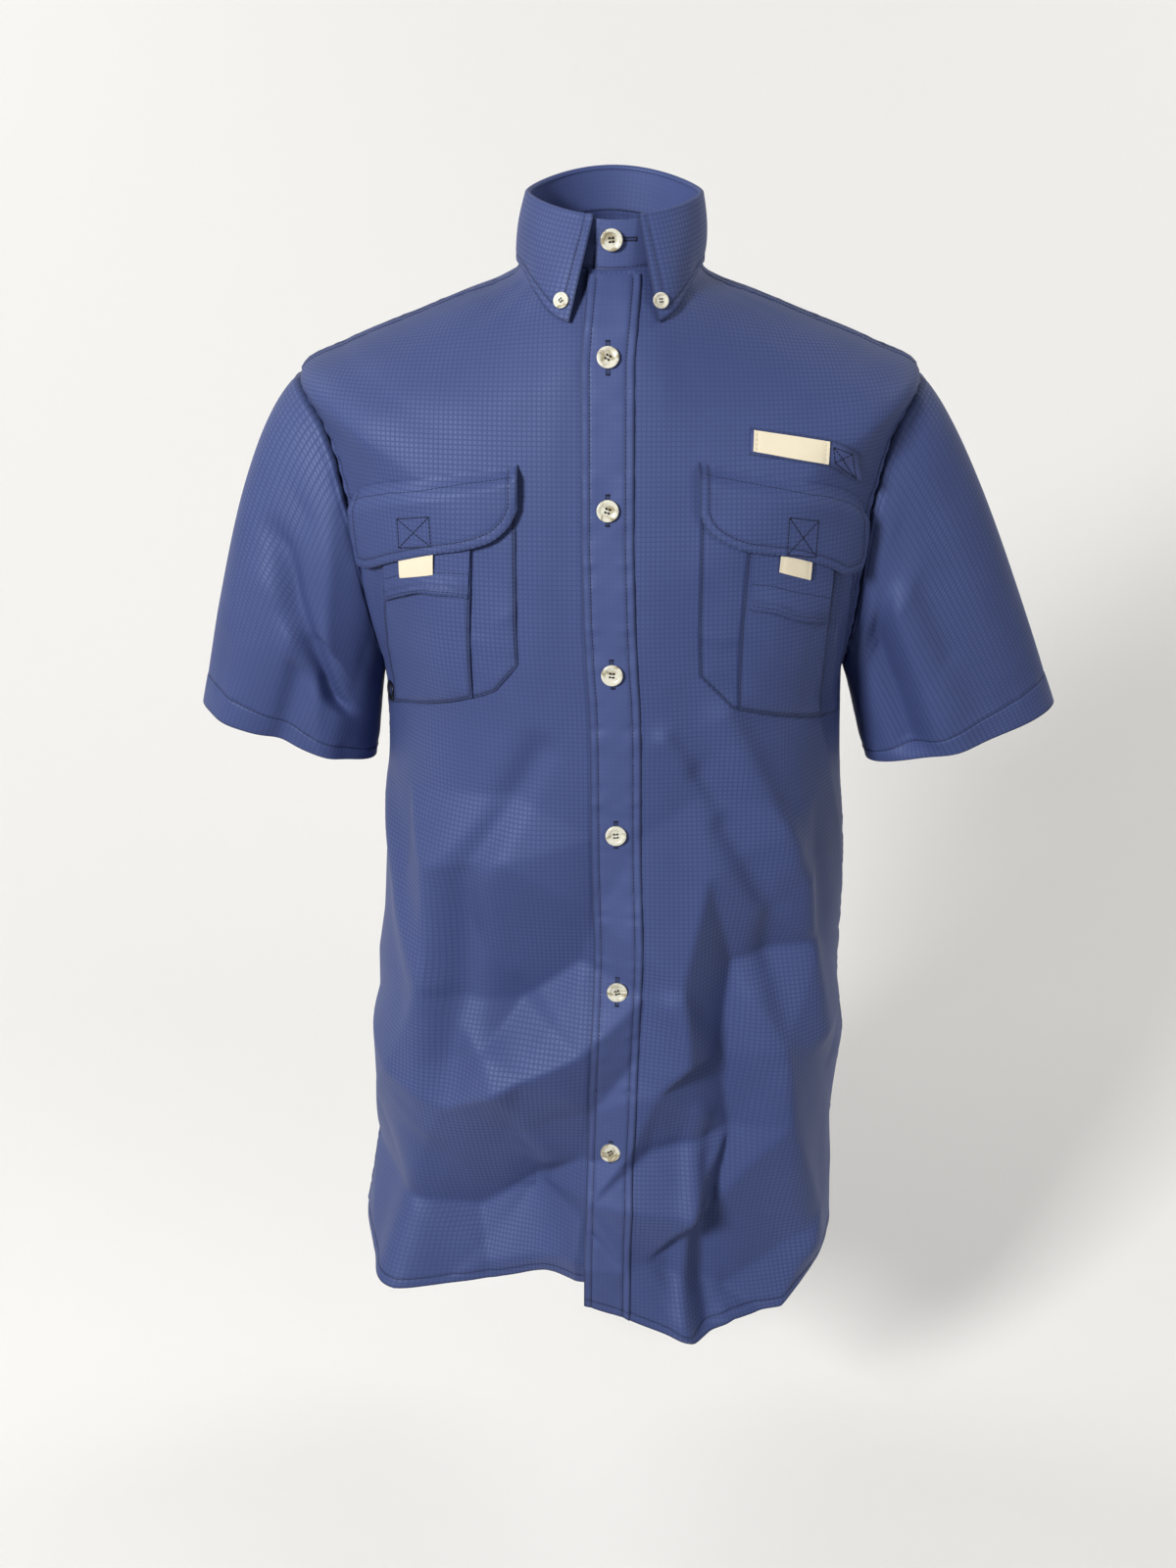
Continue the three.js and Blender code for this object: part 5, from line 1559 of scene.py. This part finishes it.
def apply_modifiers(obj):
    bpy.ops.object.select_all(action="DESELECT")
    bpy.context.view_layer.objects.active = obj
    obj.select_set(True)
    for modifier in list(obj.modifiers):
        bpy.ops.object.modifier_apply(modifier=modifier.name)


def select_faces(obj, wanted):
    bpy.ops.object.mode_set(mode="EDIT")
    bpy.ops.mesh.select_mode(type="FACE")
    bpy.ops.mesh.select_all(action="DESELECT")
    bpy.ops.object.mode_set(mode="OBJECT")
    for face in obj.data.polygons:
        face.select = wanted(face)
    bpy.ops.object.mode_set(mode="EDIT")


def select_edges(obj, wanted):
    bpy.ops.object.mode_set(mode="EDIT")
    bpy.ops.mesh.select_mode(type="EDGE")
    bpy.ops.mesh.select_all(action="DESELECT")
    bpy.ops.object.mode_set(mode="OBJECT")
    points = obj.data.vertices
    for edge in obj.data.edges:
        edge.select = wanted(*(points[v].co for v in edge.vertices))
    bpy.ops.object.mode_set(mode="EDIT")


def model_button(name, radius, thick):
    """A four-hole button: a turned disc with a raised rim and a dished middle."""
    bpy.ops.object.select_all(action="DESELECT")
    bpy.ops.mesh.primitive_cylinder_add(
        vertices=48, radius=radius * MM, depth=thick * MM, location=(0, 0, thick * MM / 2)
    )
    obj = bpy.context.object
    obj.name = name
    bpy.ops.object.transform_apply(location=True, rotation=False, scale=False)
    select_faces(obj, lambda face: face.normal.z > 0.9)
    bpy.ops.mesh.inset(thickness=radius * 0.27 * MM, depth=0)
    bpy.ops.mesh.inset(thickness=radius * 0.12 * MM, depth=-thick * 0.26 * MM)
    bpy.ops.mesh.inset(thickness=radius * 0.3 * MM, depth=-thick * 0.05 * MM)
    bpy.ops.object.mode_set(mode="OBJECT")
    soft = obj.modifiers.new("soft_edges", "BEVEL")
    soft.width = thick * 0.24 * MM
    soft.segments = 3
    soft.angle_limit = math.radians(25)
    apply_modifiers(obj)
    hole_out = radius * 0.24
    for angle in (45, 135, 225, 315):
        across, up = math.cos(math.radians(angle)), math.sin(math.radians(angle))
        bpy.ops.object.select_all(action="DESELECT")
        bpy.ops.mesh.primitive_cylinder_add(
            vertices=16, radius=radius * 0.115 * MM, depth=thick * 3 * MM,
            location=(hole_out * across * MM, hole_out * up * MM, 0),
        )
        drill = bpy.context.object
        cut = obj.modifiers.new("thread_hole", "BOOLEAN")
        cut.operation = "DIFFERENCE"
        cut.object = drill
        apply_modifiers(obj)
        bpy.data.objects.remove(drill)
    obj.data.shade_smooth()
    obj.data.set_sharp_from_angle(angle=math.radians(40))
    return obj


def button_thread(radius, thick):
    """Two strands between each of the two pairs of holes, across the top."""
    out = radius * 0.17
    lift = thick * 0.72
    strands = []
    for side in (-1, 1):
        for offset in (-0.18, 0.18):
            y = side * out + offset
            line = np.array([[-out * 1.5, y, lift - 0.5], [0, y, lift + 0.35], [out * 1.5, y, lift - 0.5]])
            strands += stitches_along(line, np.tile([0, 0, 1.0], (3, 1)), pitch=99, long=out * 3.2, wide=0.32)
    return strands


def make_buttons():
    master = model_button("button_master", BUTTON_RADIUS, BUTTON_THICK)
    tip_master = model_button("tip_button_master", TIP_BUTTON_RADIUS, TIP_BUTTON_THICK)
    threads = []

    def set_button(name, kind, point, facing, spin):
        if kind is master:
            radius, thick = BUTTON_RADIUS, BUTTON_THICK
        else:
            radius, thick = TIP_BUTTON_RADIUS, TIP_BUTTON_THICK
        obj = bpy.data.objects.new(f"{name}_moulded", kind.data.copy())
        bpy.context.scene.collection.objects.link(obj)
        placed(obj, point, facing, spin)
        finish_piece(obj, BUTTONS, (name,))
        turned = Vector((0, 0, 1)).rotation_difference(Vector(facing.tolist())).to_matrix()
        turned = np.array(turned @ Matrix.Rotation(spin, 3, "Z"))
        threads.extend(s @ turned.T + point for s in button_thread(radius, thick))

    top = stand_top(0.0)
    place = torso(0, 0.0) * np.array([1, 1, 0]) + np.array([0, 0, float(top) * STAND_BUTTON_UP])
    set_button("button_1", master, place + outward(0.0) * 1.0, outward(0.0), 0.1)
    for i, z in enumerate(FRONT_BUTTON_Z):
        point, facing = chest(float(straight(PLACKET_LINE, z)), z)
        place, _ = surface("placket", [point], [facing])
        set_button(f"button_{i + 2}", master, place[0] + facing * 0.7, facing, 0.2 * i - 0.5)
    for i, side in enumerate(("right", "left")):
        u, down = TIP_PLACES[side]
        at = np.array([[u, 8 + down]])
        steps = ((0, 0), (0.004, 0), (0, 0.2))
        near = np.array([leaf_points(at[:, 0] + a, at[:, 1] + b)[0] for a, b in steps])
        facing = unit(np.cross(near[1] - near[0], near[2] - near[0]))
        facing = facing if facing[1] < 0 else -facing
        point, _ = surface("collar_leaf", [near[0]], [facing], 6.0)
        set_button(f"collar_button_{side}", tip_master, point[0] + facing * 0.4, facing, 0.4)
    bpy.data.objects.remove(master)
    bpy.data.objects.remove(tip_master)
    thread_piece("button_threads", threads)


def make_eyelet():
    """A rolled metal ring, turned round its own axis."""
    bpy.ops.object.select_all(action="DESELECT")
    width = (EYELET["outer"] - EYELET["hole"]) / 2
    bpy.ops.mesh.primitive_circle_add(
        vertices=12, radius=width * MM, location=((EYELET["hole"] + width) * MM, 0, 0.6 * MM),
        rotation=(math.pi / 2, 0, 0),
    )
    obj = bpy.context.object
    obj.name = "drain_eyelet"
    bpy.ops.object.transform_apply(location=True, rotation=True, scale=True)
    bpy.ops.object.mode_set(mode="EDIT")
    bpy.ops.mesh.select_all(action="SELECT")
    bpy.ops.mesh.spin(steps=40, angle=2 * math.pi, center=(0, 0, 0), axis=(0, 0, 1))
    bpy.ops.mesh.select_all(action="SELECT")
    bpy.ops.mesh.remove_doubles(threshold=0.00002)
    bpy.ops.transform.resize(value=(1, 1, 0.42))
    bpy.ops.mesh.normals_make_consistent(inside=False)
    bpy.ops.object.mode_set(mode="OBJECT")
    obj.data.shade_smooth()
    across, z = EYELET["across"], EYELET["z"]
    point, facing = chest(across, z)
    placed(obj, point + facing * (BASE_LIFT + CLOTH + 0.4), facing)
    return finish_piece(obj, METAL, ("eyelet",))


# Camera, light and floor


def area_light(name, place, target, size, power, colour=(1, 1, 1)):
    data = bpy.data.lights.new(name, "AREA")
    data.shape = "RECTANGLE"
    data.size, data.size_y = size
    data.energy = power
    data.color = colour
    obj = bpy.data.objects.new(name, data)
    obj.location = place
    obj.rotation_euler = (Vector(target) - Vector(place)).to_track_quat("-Z", "Y").to_euler()
    bpy.context.scene.collection.objects.link(obj)
    return obj


CAMERA_PLACE = (-0.0155, -1.420, 0.220)
CAMERA_DOWN = 23.5
CAMERA_LENS = 2050 / 1600 * 36
FLOOR_Z = -1.06
FLOOR_SIZE = 12
FLOOR_FRONT = -0.4
WALL_Y = 2.4
WALL_HIGH = 5
SWEEP = 1.6


def make_studio():
    data = bpy.data.cameras.new("camera")
    data.lens = CAMERA_LENS
    data.sensor_width = 36
    data.sensor_fit = "AUTO"
    camera = bpy.data.objects.new("camera", data)
    camera.location = CAMERA_PLACE
    camera.rotation_euler = (math.radians(90 - CAMERA_DOWN), 0, 0)
    bpy.context.scene.collection.objects.link(camera)
    bpy.context.scene.camera = camera

    make_floor()
    world = bpy.data.worlds.new("studio")
    bpy.context.scene.world = world
    world.use_nodes = True
    nodes, links = world.node_tree.nodes, world.node_tree.links
    dim, pale = nodes["Background"], nodes.new("ShaderNodeBackground")
    set_inputs(dim, Color=(1.0, 0.99, 0.97, 1), Strength=0.12)
    set_inputs(pale, Color=(0.9, 0.89, 0.87, 1), Strength=0.9)
    seen, sky = nodes.new("ShaderNodeLightPath"), nodes.new("ShaderNodeMixShader")
    links.new(seen.outputs["Is Camera Ray"], sky.inputs[0])
    links.new(dim.outputs[0], sky.inputs[1])
    links.new(pale.outputs[0], sky.inputs[2])
    links.new(sky.outputs[0], nodes["World Output"].inputs["Surface"])
    area_light("key", (-1.55, -2.35, 1.0), (0, 0, -0.5), (0.6, 0.6), 98)
    area_light("fill", (1.6, -2.2, 0.1), (0, 0, -0.5), (1.0, 1.0), 14)
    area_light("wash_left", (-2.4, 0.9, 1.6), (-0.3, 2.4, -0.4), (1.6, 1.6), 34)
    area_light("wash_right", (2.4, 0.9, 1.6), (0.3, 2.4, -0.4), (1.6, 1.6), 34)
    bpy.context.scene.view_settings.view_transform = "Standard"


def make_floor():
    """A pale floor that sweeps up into the wall behind."""
    bpy.ops.object.select_all(action="DESELECT")
    bpy.ops.mesh.primitive_plane_add(size=FLOOR_SIZE, location=(0, WALL_Y - FLOOR_SIZE / 2, FLOOR_Z))
    floor = bpy.context.object
    floor.name = "studio_floor"
    bpy.ops.object.transform_apply(location=True, rotation=False, scale=False)
    for point in floor.data.vertices:
        point.co.y = max(point.co.y, FLOOR_FRONT)
    select_edges(floor, lambda a, b: a.y > WALL_Y - 0.01 and b.y > WALL_Y - 0.01)
    bpy.ops.mesh.extrude_region_move(TRANSFORM_OT_translate={"value": (0, 0, WALL_HIGH)})
    bpy.ops.object.mode_set(mode="OBJECT")
    select_edges(floor, lambda a, b: min(a.y, b.y) > WALL_Y - 0.01 and max(a.z, b.z) < FLOOR_Z + 0.01)
    bpy.ops.mesh.bevel(offset=SWEEP, segments=24, affect="EDGES")
    bpy.ops.object.mode_set(mode="OBJECT")
    floor.data.shade_smooth()
    material, *_, shader = new_material("pale_floor")
    set_inputs(shader, Base_Color=(0.86, 0.85, 0.83, 1), Roughness=0.95, Specular_IOR_Level=0.1)
    floor.data.materials.append(material)


for panel in PANELS:
    make_panel(panel)
make_placket()
make_sleeve("right")
make_sleeve("left")
make_collar_stand()
make_collar_leaf()
make_pocket("right", RIGHT_POCKET, 71)
make_pocket("left", LEFT_POCKET, 91)
make_patch("rod_tab", ROD_TAB, rod_lift, CLOTH, PLAIN, "shirt_cloth", ("top", "bottom", "end"),
           EDGE_STITCH, 111)
make_patch("rod_tab_label", ROD_LABEL, label_lift, LABEL_CLOTH, TAPE, "blank_label", ("start", "end"),
           LABEL_STITCH, 113, step=1.2)
make_buttons()
make_eyelet()
sew_body()
sew_placket()
sew_collar()
sew_sleeves()
sew_pocket("right", RIGHT_POCKET)
sew_pocket("left", LEFT_POCKET)
thread_piece("rod_tab_stitching", crossed_box(ROD_CROSS, "rod_tab"))
sew_labels()
make_studio()
